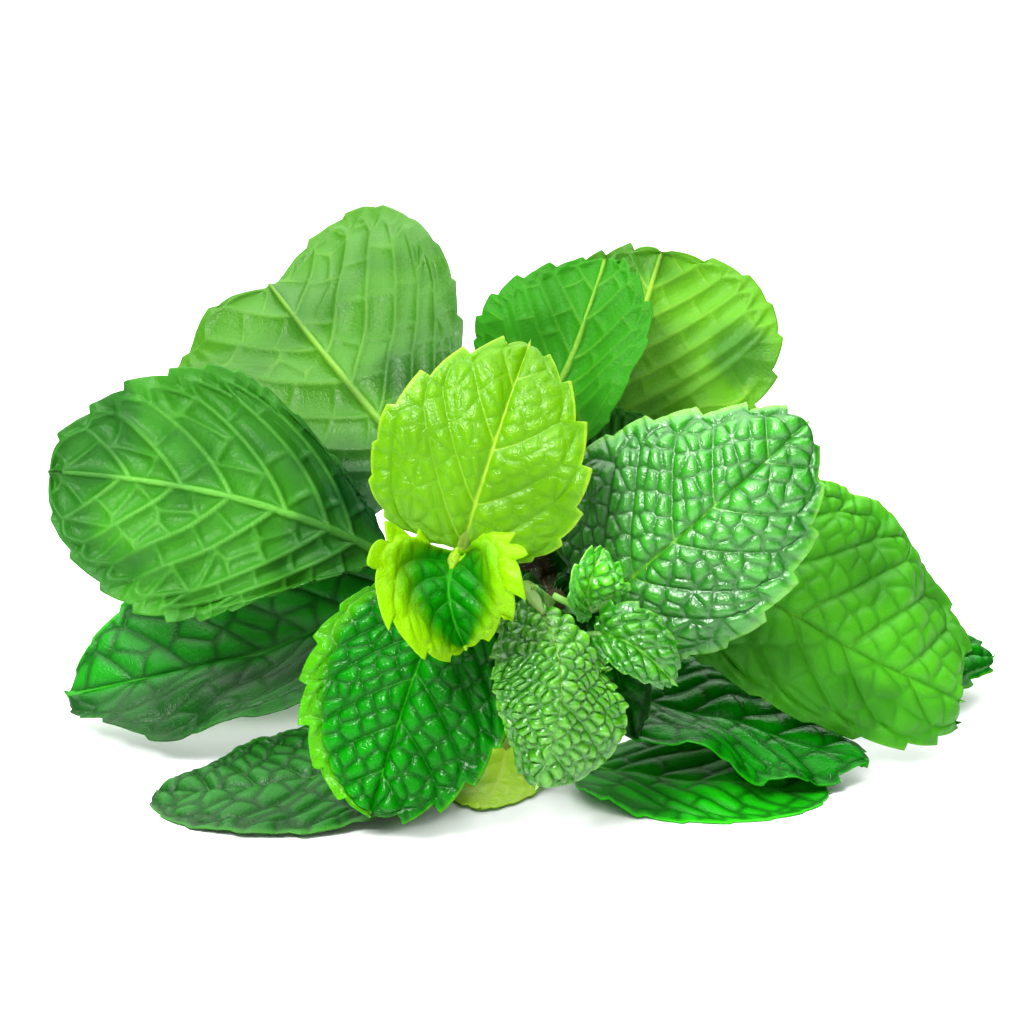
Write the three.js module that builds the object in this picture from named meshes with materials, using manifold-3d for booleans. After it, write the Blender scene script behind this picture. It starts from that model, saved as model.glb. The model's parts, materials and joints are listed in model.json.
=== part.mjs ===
// Spearmint sprig, as picked: a short square stem with side shoots and broad wrinkled leaves,
// lying on a flat surface on its lower leaves and the cut end of its stem. Millimetres, +Z up.
// The origin is on the surface, under the middle of the sprig. The cut end points along +Y.

import * as THREE from 'three';
import { mergeVertices } from 'three/addons/utils/BufferGeometryUtils.js';
import Module from 'manifold-3d';

const wasm = await Module();
wasm.setup();

// Driving dimensions
const BLADE_THICKNESS = 0.7;
const PLEAT_HEIGHT = 0.35;
const ROWS_PER_TOOTH = 2;
const ROWS_PER_PLEAT = 4;
const BACK_SWEEP = 1.3;
const SIDE_VEIN_ARCH = 1.35;
const LOBE = 0.06;
const EGG = 0.25;
const POINT = 0.35;
const TOOTH_LONG_SIDE = 0.7;
const TOOTH_OUT = 0.9;
const TOOTH_LEAN = 0.45;
const TOOTH_ROOT = 10;
const COLUMNS = [-1, -0.52, -0.08, 0, 0.08, 0.52, 1];
const MIDRIB_DEPTH = 0.7;
const PETIOLE_RADIUS = 0.85;
const PETIOLE_OVERLAP = 0.8;
const PETIOLE_STEP = 5;
const PETIOLE_SPREAD = 2.8;
const STEM_RADIUS = 1.75;
const SHOOT_RADIUS = 1.35;
const STEM_CHAMFER = 0.62;
const STEM_TAPER = 0.12;
const STEM_RING_STEP = 3;
const NODE_SWELLING = 1.22;
const NODE_LENGTH = 2.2;
const CUT_FLOOR_DEPTH = 6;
const CUT_FLOOR_SIZE = 300;

// The middle of the sprig seen from above, in the coordinates of the lists below
const SPRIG_MIDDLE = [1.7, 11.17];

// Colours by kind of leaf: the youngest are yellow-green, the old lower ones dark
const COLOURS = {
  young: 0x9fd01a,
  fresh: 0x4fae1c,
  grown: 0x2f9a22,
  old: 0x24701f,
  stem: 0x6f7a34,
};

// Each leaf: its midrib through base, middle and tip, the upper side's direction at base and tip,
// the widths of its left and right halves seen from above with the tip ahead, and how it is bent.
// Pairs of values belong to the left and the right half. fold is the half's rise at the midrib and
// curl its further bend out to the margin, both in degrees; egg above zero widens the base end,
// lobe draws the base back beside the petiole, and notch draws the tip end forward.
const LEAVES = [
  {
    name: 'leaf_front_bright', kind: 'young', teeth: 9, tooth: 1.1,
    rib: [[-7.3, -14, 33.9], [-3.7, -14, 46.2], [0.8, -7, 57.7]], foot: [-7.4, -13.4, 33],
    face: [[0, -0.92, 0.4], [0, -0.8, 0.61]], half: [13.7, 11.5],
    fold: [5, 5], curl: [-20, -10], lobe: 0.1,
  },
  {
    name: 'leaf_front_cupped', kind: 'young', teeth: 6, tooth: 1.3,
    rib: [[-8.1, -21.6, 36], [-8.7, -28.6, 33.3], [-6.7, -29.5, 26.9]], foot: [-7.6, -15, 31.6],
    face: [[-0.1, -0.57, 0.81], [0, -0.87, 0.49]], half: [9, 9.5],
    fold: [35, 35], curl: [-10, 10], egg: [0.3, 0.3],
  },
  {
    name: 'leaf_front_left', kind: 'grown', teeth: 9, tooth: 1,
    rib: [[-9.4, -18, 29.7], [-14.1, -24.1, 18], [-18.4, -27, 4.7]], foot: [-8.6, -14.2, 28.9],
    face: [[0, -0.87, 0.49], [0, -0.92, 0.4]], half: [11.5, 12],
    fold: [5, -8], curl: [0, -15], egg: 0.1, point: 0.1,
  },
  {
    name: 'leaf_front_folded', kind: 'fresh', teeth: 9, tooth: 0.9,
    rib: [[0.8, -19.5, 30.2], [4.7, -31, 23.1], [1.7, -31, 9.4]], foot: [2.6, -14.2, 27.5],
    face: [[0.1, -0.87, 0.49], [0.1, -0.87, 0.49]], half: [9.3, 7.2],
    fold: [-30, -22], curl: [0, -5], egg: [-0.3, 0.1], point: 0, lobe: [-0.3, 0.1], notch: [0.05, 0.1],
  },
  {
    name: 'leaf_right_glossy', kind: 'grown', teeth: 10, tooth: 1.1,
    rib: [[9.4, -8, 24.6], [21.1, -12, 36.6], [34.8, -7, 47.8]], foot: [6.2, -10.1, 24.9],
    face: [[0, -0.87, 0.49], [0, -0.82, 0.57]], half: [14.5, 13.7],
    fold: [-5, -5], curl: [-15, -20], egg: 0.15, lobe: 0.12,
  },
  {
    name: 'leaf_right_large', kind: 'grown', teeth: 12, tooth: 1.1,
    rib: [[14.9, 4, 32.3], [35.5, -2, 20.4], [56.6, 5, 7]], foot: [3.2, 7, 36.3],
    face: [[0.09, -0.79, 0.6], [0.27, -0.74, 0.62]], half: [23, 11.3],
    fold: [-8, -10], curl: [-15, -20], egg: [-0.25, 0], point: 0, notch: [0.18, 0.05],
  },
  {
    name: 'leaf_left_large', kind: 'fresh', teeth: 11, tooth: 1.1,
    rib: [[-16.8, 0, 27.9], [-34.9, -4, 36.9], [-58.8, 2, 38.6]], foot: [-2.9, 1.7, 27.2],
    face: [[0, 0.92, -0.4], [0.1, 0.91, -0.4]], half: [15.2, 16],
    fold: [-5, -5], egg: [0.08, -0.15], point: [0, 0], lobe: [-0.22, -0.35],
  },
  {
    name: 'leaf_back_left', kind: 'fresh', teeth: 12, tooth: 1.1,
    rib: [[-12.2, 7, 37], [-22.6, 17, 46.3], [-33, 35, 53.9]], foot: [-1.6, 8, 34],
    face: [[0.19, 0.81, -0.56], [0.18, 0.76, -0.63]], half: [19, 23.5],
    egg: [-0.42, -0.2], point: 0, lobe: [0, 0.1], notch: [0.33, 0.12],
  },
  {
    name: 'leaf_back_middle', kind: 'grown', teeth: 10, tooth: 1,
    rib: [[1, 8.5, 40.8], [6.7, 9.5, 52.3], [10.6, 15.5, 62.7]], foot: [0.4, 9.8, 38.6],
    face: [[0.2, 0.9, -0.39], [0.2, 0.9, -0.39]], half: [10.3, 13],
    fold: [-20, 0], curl: [-20, 0], egg: 0.1, point: 0.4,
  },
  {
    name: 'leaf_back_right', kind: 'fresh', teeth: 11, tooth: 1.1,
    rib: [[9.8, 17, 38.2], [14, 20, 49.4], [17.9, 27, 60.1]], foot: [1.4, 11.6, 35.4],
    face: [[-0.1, 0.87, -0.49], [-0.1, 0.87, -0.49]], half: [18, 12.5],
    egg: [-0.15, 0], point: 0, notch: [0.22, 0],
  },
  {
    name: 'leaf_left_low', kind: 'old', teeth: 12, tooth: 1.1,
    rib: [[-14.3, 7, 21.3], [-35.6, 8, 12.1], [-59.5, 14, 5]], foot: [1.7, 12.8, 19],
    face: [[0, -0.32, 0.95], [0, -0.32, 0.95]], half: [13, 16],
    fold: [0, 35], egg: [0.1, 0.1],
  },
  {
    name: 'leaf_floor_left', kind: 'old', teeth: 11, tooth: 1,
    rib: [[-8.5, -3, 6.4], [-27.6, -13, 3.7], [-45.7, -10, 0.9]], foot: [1.8, 7.2, 7.7],
    face: [[0, -0.19, 0.98], [0, -0.19, 0.98]], half: [11.5, 11],
    egg: 0, point: 0.1,
  },
  {
    name: 'leaf_right_arched', kind: 'grown', teeth: 10, tooth: 1,
    rib: [[11.1, -2, 10.3], [27.5, -4, 7.5], [43.2, -5, 1.9]], foot: [6.9, 14, 15.3],
    face: [[0, -0.32, 0.95], [0, -0.22, 0.98]], half: [12, 11],
    fold: [0, 12], curl: [0, -20],
  },
  {
    name: 'leaf_floor_right', kind: 'old', teeth: 10, tooth: 1,
    rib: [[7.3, -6, 2.4], [22.6, -9, 1.7], [38.3, -10, 0.5]], foot: [6.6, 6.2, 7.4],
    face: [[0, -0.15, 0.99], [0, -0.15, 0.99]], half: [11.5, 10.5],
    egg: 0, point: 0.1,
  },
  {
    name: 'leaf_right_hidden', kind: 'fresh', teeth: 10, tooth: 1,
    rib: [[20.2, 30, 6.2], [41.1, 25, 6.6], [63, 27, 5.3]], foot: [11.2, 35.6, 8],
    face: [[0, -0.32, 0.95], [0, -0.32, 0.95]], half: [12, 12],
    egg: 0.2,
  },
  {
    name: 'leaf_young_upper', kind: 'fresh', teeth: 6, tooth: 0.8,
    rib: [[8.3, -14.4, 26.1], [8.1, -16.8, 30], [9.8, -15.6, 34.1]], foot: [5.1, -13.6, 27],
    face: [[0.29, -0.88, 0.39], [0.29, -0.88, 0.39]], half: [2.7, 4.9],
    fold: [20, 0], egg: 0.1, lobe: 0.12,
  },
  {
    name: 'leaf_young_lower', kind: 'fresh', teeth: 7, tooth: 0.8,
    rib: [[8.9, -18.4, 24.4], [13.5, -21.3, 23.9], [18.6, -20.6, 18.8]], foot: [6.5, -13, 21.9],
    face: [[0, -0.82, 0.57], [0, -0.82, 0.57]], half: [5.5, 5],
    fold: [10, 10], egg: 0.1,
  },
  {
    name: 'leaf_back_small', kind: 'old', teeth: 9, tooth: 0.8,
    rib: [[6.8, 10, 32.4], [11.9, 11, 37.1], [17, 13, 41.8]], foot: [3, 9.6, 38],
    face: [[0, 0.92, -0.4], [0, 0.92, -0.4]], half: [8, 8],
  },
  {
    name: 'leaf_floor_front', kind: 'fresh', teeth: 8, tooth: 0.8,
    rib: [[-1.8, -1, 3.6], [-3.1, -7.5, 0.9], [-5.2, -15.3, 0.5]], foot: [3.8, 4.4, 6.8],
    face: [[0, 0, 1], [0, 0, 1]], half: [5.5, 8.5],
  },
  {
    name: 'leaf_left_hidden', kind: 'fresh', teeth: 10, tooth: 1,
    rib: [[-11, 33, 9.1], [-33.6, 30, 11.6], [-54.8, 25, 16]], foot: [6.2, 41, 6.6],
    face: [[0, -0.32, 0.95], [0, -0.32, 0.95]], half: [11, 11],
    egg: 0.1,
  },
];

// The stem and its shoots as points along their axes, from the cut end and from the fork
const STEM_AXES = [
  { radius: STEM_RADIUS, points: [[10, 58, 1.45], [9, 42, 6], [7, 24, 13], [4, 11, 20], [1.5, 5.5, 27]] },
  { radius: SHOOT_RADIUS, points: [[2, 6.5, 26], [-3, -5, 28.5], [-7.5, -12, 31]] },
  { radius: SHOOT_RADIUS, points: [[3.2, 9, 22], [4, -4, 24], [4, -12, 26.5]] },
  { radius: SHOOT_RADIUS, points: [[1.5, 5.5, 26], [0.3, 8.5, 33], [0.6, 9.5, 37]] },
  { radius: SHOOT_RADIUS, points: [[7, 23.5, 13], [5.5, 14, 9.5], [4.2, 7, 7.5]] },
];

// Vectors

const vector = (point) => new THREE.Vector3(...point);

const mix = (a, b, t) => a + (b - a) * t;

const clamp01 = (t) => Math.min(1, Math.max(0, t));

const radians = THREE.MathUtils.degToRad;

const halfValue = (value, side) => (Array.isArray(value) ? value[side < 0 ? 0 : 1] : value);

// A curve through three points, drawn on straight before the first one
function ribPoint(rib, u) {
  const c = clamp01(u);
  const weights = [(1 - c) * (1 - 2 * c), 4 * c * (1 - c), c * (2 * c - 1)];
  const slopes = [4 * c - 3, 4 - 8 * c, 4 * c - 1];
  const point = new THREE.Vector3();
  const slope = new THREE.Vector3();
  rib.forEach((knot, i) => {
    point.addScaledVector(vector(knot), weights[i]);
    slope.addScaledVector(vector(knot), slopes[i]);
  });
  point.addScaledVector(slope, u - c);
  return { point, slope };
}

function ribLength(rib, steps = 40) {
  let length = 0;
  let last = vector(rib[0]);
  for (let i = 1; i <= steps; i++) {
    const next = ribPoint(rib, i / steps).point;
    length += next.distanceTo(last);
    last = next;
  }
  return length;
}

// Leaf blade

// A flat margin point at angle theta, from the base at 0 to the tip at pi: s runs along the midrib
// and t across. x is how far along the leaf the point lies.
function marginPoint(leaf, theta, side) {
  const x = (1 - Math.cos(theta)) / 2;
  const across = Math.sin(theta);
  const lobe = halfValue(leaf.lobe ?? LOBE, side) * across * (1 - x) ** 2;
  const notch = halfValue(leaf.notch ?? 0, side) * across * x ** 2;
  const egg = 1 + halfValue(leaf.egg ?? EGG, side) * Math.cos(theta);
  const power = 1 + halfValue(leaf.point ?? POINT, side) * x ** 2;
  return { s: leaf.length * (x - lobe + notch), t: halfValue(leaf.half, side) * across ** power * egg };
}

// A saw wave that leans to the tip, zero at each notch between teeth
function sawTooth(leaf, theta) {
  const phase = ((theta / Math.PI) * leaf.teeth) % 1;
  return phase < TOOTH_LONG_SIDE ? phase / TOOTH_LONG_SIDE : (1 - phase) / (1 - TOOTH_LONG_SIDE);
}

// A flat blade point on the row of angle theta, with v from the midrib at 0 to the margin at 1
function flatPoint(leaf, theta, v, side) {
  const x = (1 - Math.cos(theta)) / 2;
  const margin = marginPoint(leaf, theta, side);
  const start = leaf.length * x ** BACK_SWEEP;
  const before = marginPoint(leaf, Math.max(0, theta - 0.001), side);
  const after = marginPoint(leaf, Math.min(Math.PI, theta + 0.001), side);
  const run = Math.hypot(after.s - before.s, after.t - before.t) + 1e-9;
  const ds = (after.s - before.s) / run;
  const dt = (after.t - before.t) / run;
  const fade = Math.min(1, 3.5 * Math.sin(theta)) * v ** TOOTH_ROOT;
  const size = leaf.tooth * fade * sawTooth(leaf, theta);
  return {
    s: mix(start, margin.s, v ** SIDE_VEIN_ARCH) + size * (TOOTH_LEAN * ds - TOOTH_OUT * dt),
    t: margin.t * v + size * (TOOTH_LEAN * dt + TOOTH_OUT * ds),
  };
}

// The blade's direction at u along the midrib: forward, up through the upper side, and right
function ribFrame(leaf, u) {
  const { point, slope } = ribPoint(leaf.rib, u);
  const forward = slope.normalize();
  const up = vector(leaf.face[0]).lerp(vector(leaf.face[1]), clamp01(u));
  up.addScaledVector(forward, -up.dot(forward)).normalize();
  const right = new THREE.Vector3().crossVectors(forward, up);
  return { point, up, right };
}

// A flat point bent onto the folded, curled blade and lifted along its upper side
function bend(leaf, flat, side) {
  const { point, up, right } = ribFrame(leaf, flat.s / leaf.length);
  const fold = radians(halfValue(leaf.fold ?? 0, side));
  const perMm = radians(halfValue(leaf.curl ?? 0, side)) / halfValue(leaf.half, side);
  const curl = Math.abs(perMm) < 1e-6 ? 1e-6 : perMm;
  const angle = fold + curl * flat.t;
  const across = (Math.sin(angle) - Math.sin(fold)) / curl;
  const rise = (Math.cos(fold) - Math.cos(angle)) / curl;
  return point.addScaledVector(right, side * across).addScaledVector(up, rise);
}

// The blade's middle surface from base to tip, in rows that follow the side veins from the left
// margin to the right one, raised between those veins
function bladeRow(leaf, i, rows) {
  const theta = (Math.PI * i) / rows;
  const pleat = PLEAT_HEIGHT * Math.abs(Math.sin((Math.PI * i) / ROWS_PER_PLEAT)) * Math.sin(theta);
  return COLUMNS.map((column) => {
    const v = Math.abs(column);
    const side = column < 0 ? -1 : 1;
    const flat = flatPoint(leaf, theta, v, side);
    const { up } = ribFrame(leaf, flat.s / leaf.length);
    return bend(leaf, flat, side).addScaledVector(up, pleat * 4 * v * (1 - v));
  });
}

// The direction out of the upper side at a grid point, from its neighbours
function gridNormal(surface, i, j) {
  const rows = surface.length - 1;
  const columns = surface[0].length - 1;
  const along = surface[Math.min(rows, i + 1)][j].clone().sub(surface[Math.max(0, i - 1)][j]);
  const across = surface[i][Math.min(columns, j + 1)].clone().sub(surface[i][Math.max(0, j - 1)]);
  return across.cross(along).normalize();
}

// Upper and lower points of the blade, with the midrib standing out below
function bladeRings(leaf) {
  const rows = leaf.teeth * ROWS_PER_TOOTH;
  const surface = [];
  for (let i = 1; i < rows; i++) surface.push(bladeRow(leaf, i, rows));
  return surface.map((row, i) => {
    const keel = MIDRIB_DEPTH * (1 - (i + 1) / rows);
    const offset = (lift) => row.map((point, j) => {
      const depth = lift < 0 && COLUMNS[j] === 0 ? lift - keel : lift;
      return point.clone().addScaledVector(gridNormal(surface, i, j), depth);
    });
    return { upper: offset(BLADE_THICKNESS / 2), lower: offset(-BLADE_THICKNESS / 2) };
  });
}

// The petiole, round, from its foot beside the stem to the base of the blade
function petioleRings(leaf) {
  const base = ribFrame(leaf, -PETIOLE_OVERLAP / leaf.length);
  const foot = vector(leaf.foot);
  const reach = foot.distanceTo(base.point);
  const before = ribPoint(leaf.rib, -(PETIOLE_OVERLAP + reach * 0.4) / leaf.length).point;
  const curve = new THREE.QuadraticBezierCurve3(foot, before, base.point);
  const steps = Math.max(2, Math.ceil(reach / PETIOLE_STEP));
  return Array.from({ length: steps + 1 }, (_, i) => {
    const centre = curve.getPoint(i / steps);
    const forward = curve.getTangent(i / steps);
    const up = base.up.clone().addScaledVector(forward, -base.up.dot(forward)).normalize();
    const right = new THREE.Vector3().crossVectors(forward, up);
    const around = (turn) => COLUMNS.map((_, j) => {
      const angle = turn * (Math.PI / 2 - (j / (COLUMNS.length - 1) - 0.5) * PETIOLE_SPREAD);
      const point = centre.clone().addScaledVector(right, PETIOLE_RADIUS * Math.cos(angle));
      return point.addScaledVector(up, PETIOLE_RADIUS * Math.sin(angle));
    });
    return { upper: around(1), lower: around(-1) };
  });
}

// A leaf as one closed body: petiole and blade share one run of rings, each with upper and lower
// points, closed by a flat foot and drawn together at the tip
function leafGeometry(leaf) {
  const rings = [...petioleRings(leaf), ...bladeRings(leaf)];
  const width = COLUMNS.length;
  const face = rings.length * width + 1;
  const end = ribFrame(leaf, 1 + leaf.tooth / (2 * leaf.length));
  const positions = [];
  for (const [name, lift] of [['upper', BLADE_THICKNESS / 2], ['lower', -BLADE_THICKNESS / 2]]) {
    rings.forEach((ring) => ring[name].forEach((point) => positions.push(...point)));
    positions.push(...end.point.clone().addScaledVector(end.up, lift));
  }
  const index = [];
  const both = (a, b, c) => index.push(a, b, c, c + face, b + face, a + face);
  const wall = (a, b) => index.push(a, a + face, b, b, a + face, b + face);
  const at = (i, j) => i * width + j;
  const tip = face - 1;
  const last = rings.length - 1;
  for (let j = 0; j + 1 < width; j++) {
    for (let i = 0; i < last; i++) {
      both(at(i, j), at(i, j + 1), at(i + 1, j + 1));
      both(at(i, j), at(i + 1, j + 1), at(i + 1, j));
    }
    wall(at(0, j), at(0, j + 1));
    both(tip, at(last, j), at(last, j + 1));
  }
  for (let i = 0; i < last; i++) {
    wall(at(i, width - 1), at(i + 1, width - 1));
    wall(at(i + 1, 0), at(i, 0));
  }
  wall(at(last, width - 1), tip);
  wall(tip, at(last, 0));
  return geometryOf(positions, index);
}

function geometryOf(positions, index) {
  const geometry = new THREE.BufferGeometry();
  geometry.setAttribute('position', new THREE.Float32BufferAttribute(positions, 3));
  geometry.setIndex(index);
  return geometry;
}

// Stem

// A closed rod along a list of points, with one radius for each and a section given as angles with
// a share of that radius
function rodGeometry(points, radii, section) {
  const positions = [];
  const index = [];
  const count = section.length;
  let side = new THREE.Vector3(1, 0, 0);
  points.forEach((point, i) => {
    const ahead = points[Math.min(points.length - 1, i + 1)].clone();
    const forward = ahead.sub(points[Math.max(0, i - 1)]).normalize();
    side = side.clone().addScaledVector(forward, -side.dot(forward)).normalize();
    const other = new THREE.Vector3().crossVectors(forward, side);
    for (const [angle, share] of section) {
      const corner = point.clone().addScaledVector(side, Math.cos(angle) * share * radii[i]);
      positions.push(...corner.addScaledVector(other, Math.sin(angle) * share * radii[i]));
    }
  });
  for (let i = 0; i + 1 < points.length; i++) {
    for (let k = 0; k < count; k++) {
      const a = i * count + k;
      const b = i * count + ((k + 1) % count);
      index.push(a, b, b + count, a, b + count, a + count);
    }
  }
  const last = (points.length - 1) * count;
  for (let k = 1; k + 1 < count; k++) {
    index.push(0, k + 1, k, last, last + k, last + k + 1);
  }
  return geometryOf(positions, index);
}

// A square with cut corners, two points for each corner
function squareSection() {
  const section = [];
  for (let k = 0; k < 4; k++) {
    for (const lean of [-1, 1]) {
      section.push([(k + 0.5) * (Math.PI / 2) + lean * STEM_CHAMFER / 2, 1]);
    }
  }
  return section;
}

// The stem with its shoots, swollen where a pair of leaves grows
function axisGeometry({ radius, points }) {
  const curve = new THREE.CatmullRomCurve3(points.map(vector));
  const length = curve.getLength();
  const steps = Math.ceil(length / STEM_RING_STEP);
  const along = Array.from({ length: steps + 1 }, (_, i) => curve.getPointAt(i / steps));
  const radii = along.map((point, i) => {
    const inner = points.slice(1).map((knot) => point.distanceTo(vector(knot)));
    const swelling = (NODE_SWELLING - 1) * Math.exp(-((Math.min(...inner) / NODE_LENGTH) ** 2));
    return radius * (1 - STEM_TAPER * (i / steps)) * (1 + swelling);
  });
  return rodGeometry(along, radii, squareSection());
}

// Joining and cutting

function solid(geometry) {
  const merged = mergeVertices(geometry, 1e-5);
  return new wasm.Manifold(new wasm.Mesh({
    numProp: 3,
    vertProperties: new Float32Array(merged.attributes.position.array),
    triVerts: new Uint32Array(merged.index.array),
  }));
}

function geometryFrom(manifold) {
  const mesh = manifold.getMesh();
  return geometryOf(Array.from(mesh.vertProperties), Array.from(mesh.triVerts));
}

// What lies below the surface is cut away, so that a low leaf has a small flat spot to lie on
function underfloor() {
  const box = new THREE.BoxGeometry(CUT_FLOOR_SIZE, CUT_FLOOR_SIZE, CUT_FLOOR_DEPTH);
  box.translate(0, 0, -CUT_FLOOR_DEPTH / 2);
  box.deleteAttribute('normal');
  box.deleteAttribute('uv');
  return solid(box);
}

function leafMesh(entry) {
  const leaf = { ...entry, length: ribLength(entry.rib) };
  const whole = solid(leafGeometry(leaf)).subtract(underfloor());
  return namedMesh(leaf.name, geometryFrom(whole), COLOURS[leaf.kind]);
}

function stemMesh() {
  const axes = STEM_AXES.map((axis) => solid(axisGeometry(axis)));
  const whole = axes.reduce((sum, axis) => sum.add(axis)).subtract(underfloor());
  return namedMesh('stem', geometryFrom(whole), COLOURS.stem);
}

function namedMesh(name, geometry, colour) {
  geometry.computeVertexNormals();
  const material = new THREE.MeshStandardMaterial({ color: colour, roughness: 0.55, metalness: 0 });
  const mesh = new THREE.Mesh(geometry, material);
  mesh.name = name;
  return mesh;
}

const sprig = new THREE.Group();
sprig.position.set(-SPRIG_MIDDLE[0], -SPRIG_MIDDLE[1], 0);
sprig.add(stemMesh());
LEAVES.forEach((entry) => sprig.add(leafMesh(entry)));

export default sprig;
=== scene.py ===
"""A spearmint sprig: wrinkled leaves and their square stem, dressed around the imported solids.

The tables give lengths in millimetres in the same coordinates as the sprig's source; the meshes
are in metres, with the origin on the surface under the middle of the sprig.
"""
import json
import logging
import math
from dataclasses import dataclass, field, fields, replace
from enum import Enum
from typing import Any, Iterable, Sequence

import bpy
import numpy as np
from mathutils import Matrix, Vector


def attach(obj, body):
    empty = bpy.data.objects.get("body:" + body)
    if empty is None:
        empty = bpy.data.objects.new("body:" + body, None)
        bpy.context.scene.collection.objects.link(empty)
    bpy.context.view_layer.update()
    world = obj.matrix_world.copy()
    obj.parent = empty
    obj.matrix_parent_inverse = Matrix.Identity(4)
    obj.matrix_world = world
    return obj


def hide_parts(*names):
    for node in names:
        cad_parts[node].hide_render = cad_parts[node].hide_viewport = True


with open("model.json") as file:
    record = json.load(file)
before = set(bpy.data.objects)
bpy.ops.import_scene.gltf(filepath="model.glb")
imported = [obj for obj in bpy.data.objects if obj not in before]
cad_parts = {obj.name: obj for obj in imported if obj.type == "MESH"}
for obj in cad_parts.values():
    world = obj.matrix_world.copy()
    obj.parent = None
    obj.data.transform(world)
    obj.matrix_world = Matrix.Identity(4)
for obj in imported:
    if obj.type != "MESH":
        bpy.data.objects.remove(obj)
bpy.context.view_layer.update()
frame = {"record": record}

LOG = logging.getLogger("sprig")
Array = np.ndarray
Pair = tuple[float, float]
Point = tuple[float, float, float]
Colour = tuple[float, float, float]

MM = 0.001
SPRIG_MIDDLE = (1.7, 11.17, 0.0)
UPRIGHT = np.array([0.1, 0.2, 1.0])

# The outline: how rows sweep forward like side veins, and the teeth's form
SIDE_VEIN_SWEEP = 1.3
SIDE_VEIN_ARCH = 1.35
TOOTH_PEAK = 0.8
TOOTH_SWELL = 0.8
TOOTH_OUT = 0.9
TOOTH_LEAN = 0.45
TOOTH_ROOT = 10
TOOTH_FADE = 3.5
TOOTH_MEAN = 0.8
TOOTH_SPREAD = 0.35
MARGIN_STEP = 0.001

# The rolled margin: where it starts, and how far it draws in
ROLL_START = 0.84
ROLL_DRAW = 0.6

# The blade: its thickness, the share that its margin loses, and how it stays off the floor
BLADE_THICKNESS = 0.32
MARGIN_THINNING = 0.55
FLOOR_LIFT = 0.16
FLOOR_EASE = 0.3
FLOOR_SKIN = 0.02
FLOOR_END = 0.03

# The side veins: the first and the last one's places, their scatter, and the outermost bands
FIRST_VEIN = 0.02
VEIN_SPAN = 0.80
VEIN_CROWDING = 1.15
VEIN_SCATTER = 0.02
OUTER_BANDS = (-0.45, 1.3)
SIDE_VEIN_WIDTH = 0.26
SIDE_VEIN_TAPER = 0.13
LOOP_PLACE = 0.77
LOOP_SCALLOP = 0.14
LOOP_WIDTH = 0.09

# The cells: how their seeds are laid and scattered, and how round their corners are
RANK_DENSITY = 0.8
SEED_SCATTER = 0.24
BRICK_SHIFT = 0.25
MARGIN_SEEDS = 0.94
MARGIN_ZONE = 1000
OTHER_ZONE = 1e5
CORNER = 0.17
WALL_LIMIT = 20
CELL_LIMIT = 3
NO_VEIN = 9
CHUNK = 6000

# The swellings: how far from a vein each one levels off, its fading at the margin, and the waves
SOFT_FOOT = 0.1
SIDE_REACH = 2.6
MIDRIB_HOLLOW = 2.0
MIDRIB_REACH = 2.4
CELL_REACH = 1.0
MARGIN_FADE = 0.55
MARGIN_FADE_START = 0.86
WAVES = 6
WAVE_LENGTHS = (9, 20)
WAVE_SUM = 2.4
WAVE_AT_MIDRIB = 0.35

# The ridges below: widths and depths, with what the midrib loses towards the tip
MIDRIB_WIDTH = 0.5
MIDRIB_TAPER = 0.34
MIDRIB_DEPTH = 0.42
MIDRIB_DEPTH_LOSS = 0.26
SIDE_DEPTH = 0.4
WALL_DEPTH = 0.04
WALL_WIDTH = 0.13
WALL_END = 0.06

# The marks for the skin, with the rolled margin's painted highlight and how far from the midrib the painted
# shade grows
CROWN_REACH = 0.8
CROWN_SIDE_REACH = 1.1
SIDE_MARK = 3
WALL_MARK = 0.45
ROLLED_RIM_HIGHLIGHT = (0.72, 0.9)
PAINTED_SHADE_REACH = 0.5


class Half(Enum):
    """The half of a blade, seen from above with the tip ahead."""

    LEFT = 0
    RIGHT = 1

    @property
    def sign(self) -> int:
        """The direction of the half across the blade."""
        return -1 if self is Half.LEFT else 1


class Shown(Enum):
    """The side of a blade that is looked at, and has the finer mesh."""

    UPPER = 1
    LOWER = -1


def unit(vectors: Array) -> Array:
    """Vectors divided by their own length."""
    return vectors / np.maximum(np.linalg.norm(vectors, axis=-1, keepdims=True), 1e-12)


def smooth(x: Array, low: float, high: float) -> Array:
    """Zero below low, one above high and 3x^2 - 2x^3 between."""
    c = np.clip((x - low) / (high - low), 0, 1)
    return c * c * (3 - 2 * c)


def dome(distance: Array, radius: float) -> Array:
    """A swelling off a vein: 1 - (1 - distance / radius)^2 up to the radius, with a soft foot."""
    eased = np.sqrt(distance**2 + SOFT_FOOT**2) - SOFT_FOOT
    return 1 - (1 - np.clip(eased / radius, 0, 1)) ** 2


def bell(distance: Array, width: Array | float) -> Array:
    """A ridge's section: exp(-(distance / width)^2)."""
    return np.exp(-((distance / width) ** 2))


def grid_faces(rows: int, columns: int) -> Array:
    """The quads of a grid of points.

    Args:
        rows: the number of rows.
        columns: the number of points in each.

    Returns:
        Four corners for each quad.
    """
    i, j = np.meshgrid(np.arange(rows - 1), np.arange(columns - 1), indexing="ij")
    a = (i * columns + j).ravel()
    return np.stack([a, a + 1, a + columns + 1, a + columns], -1)


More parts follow.
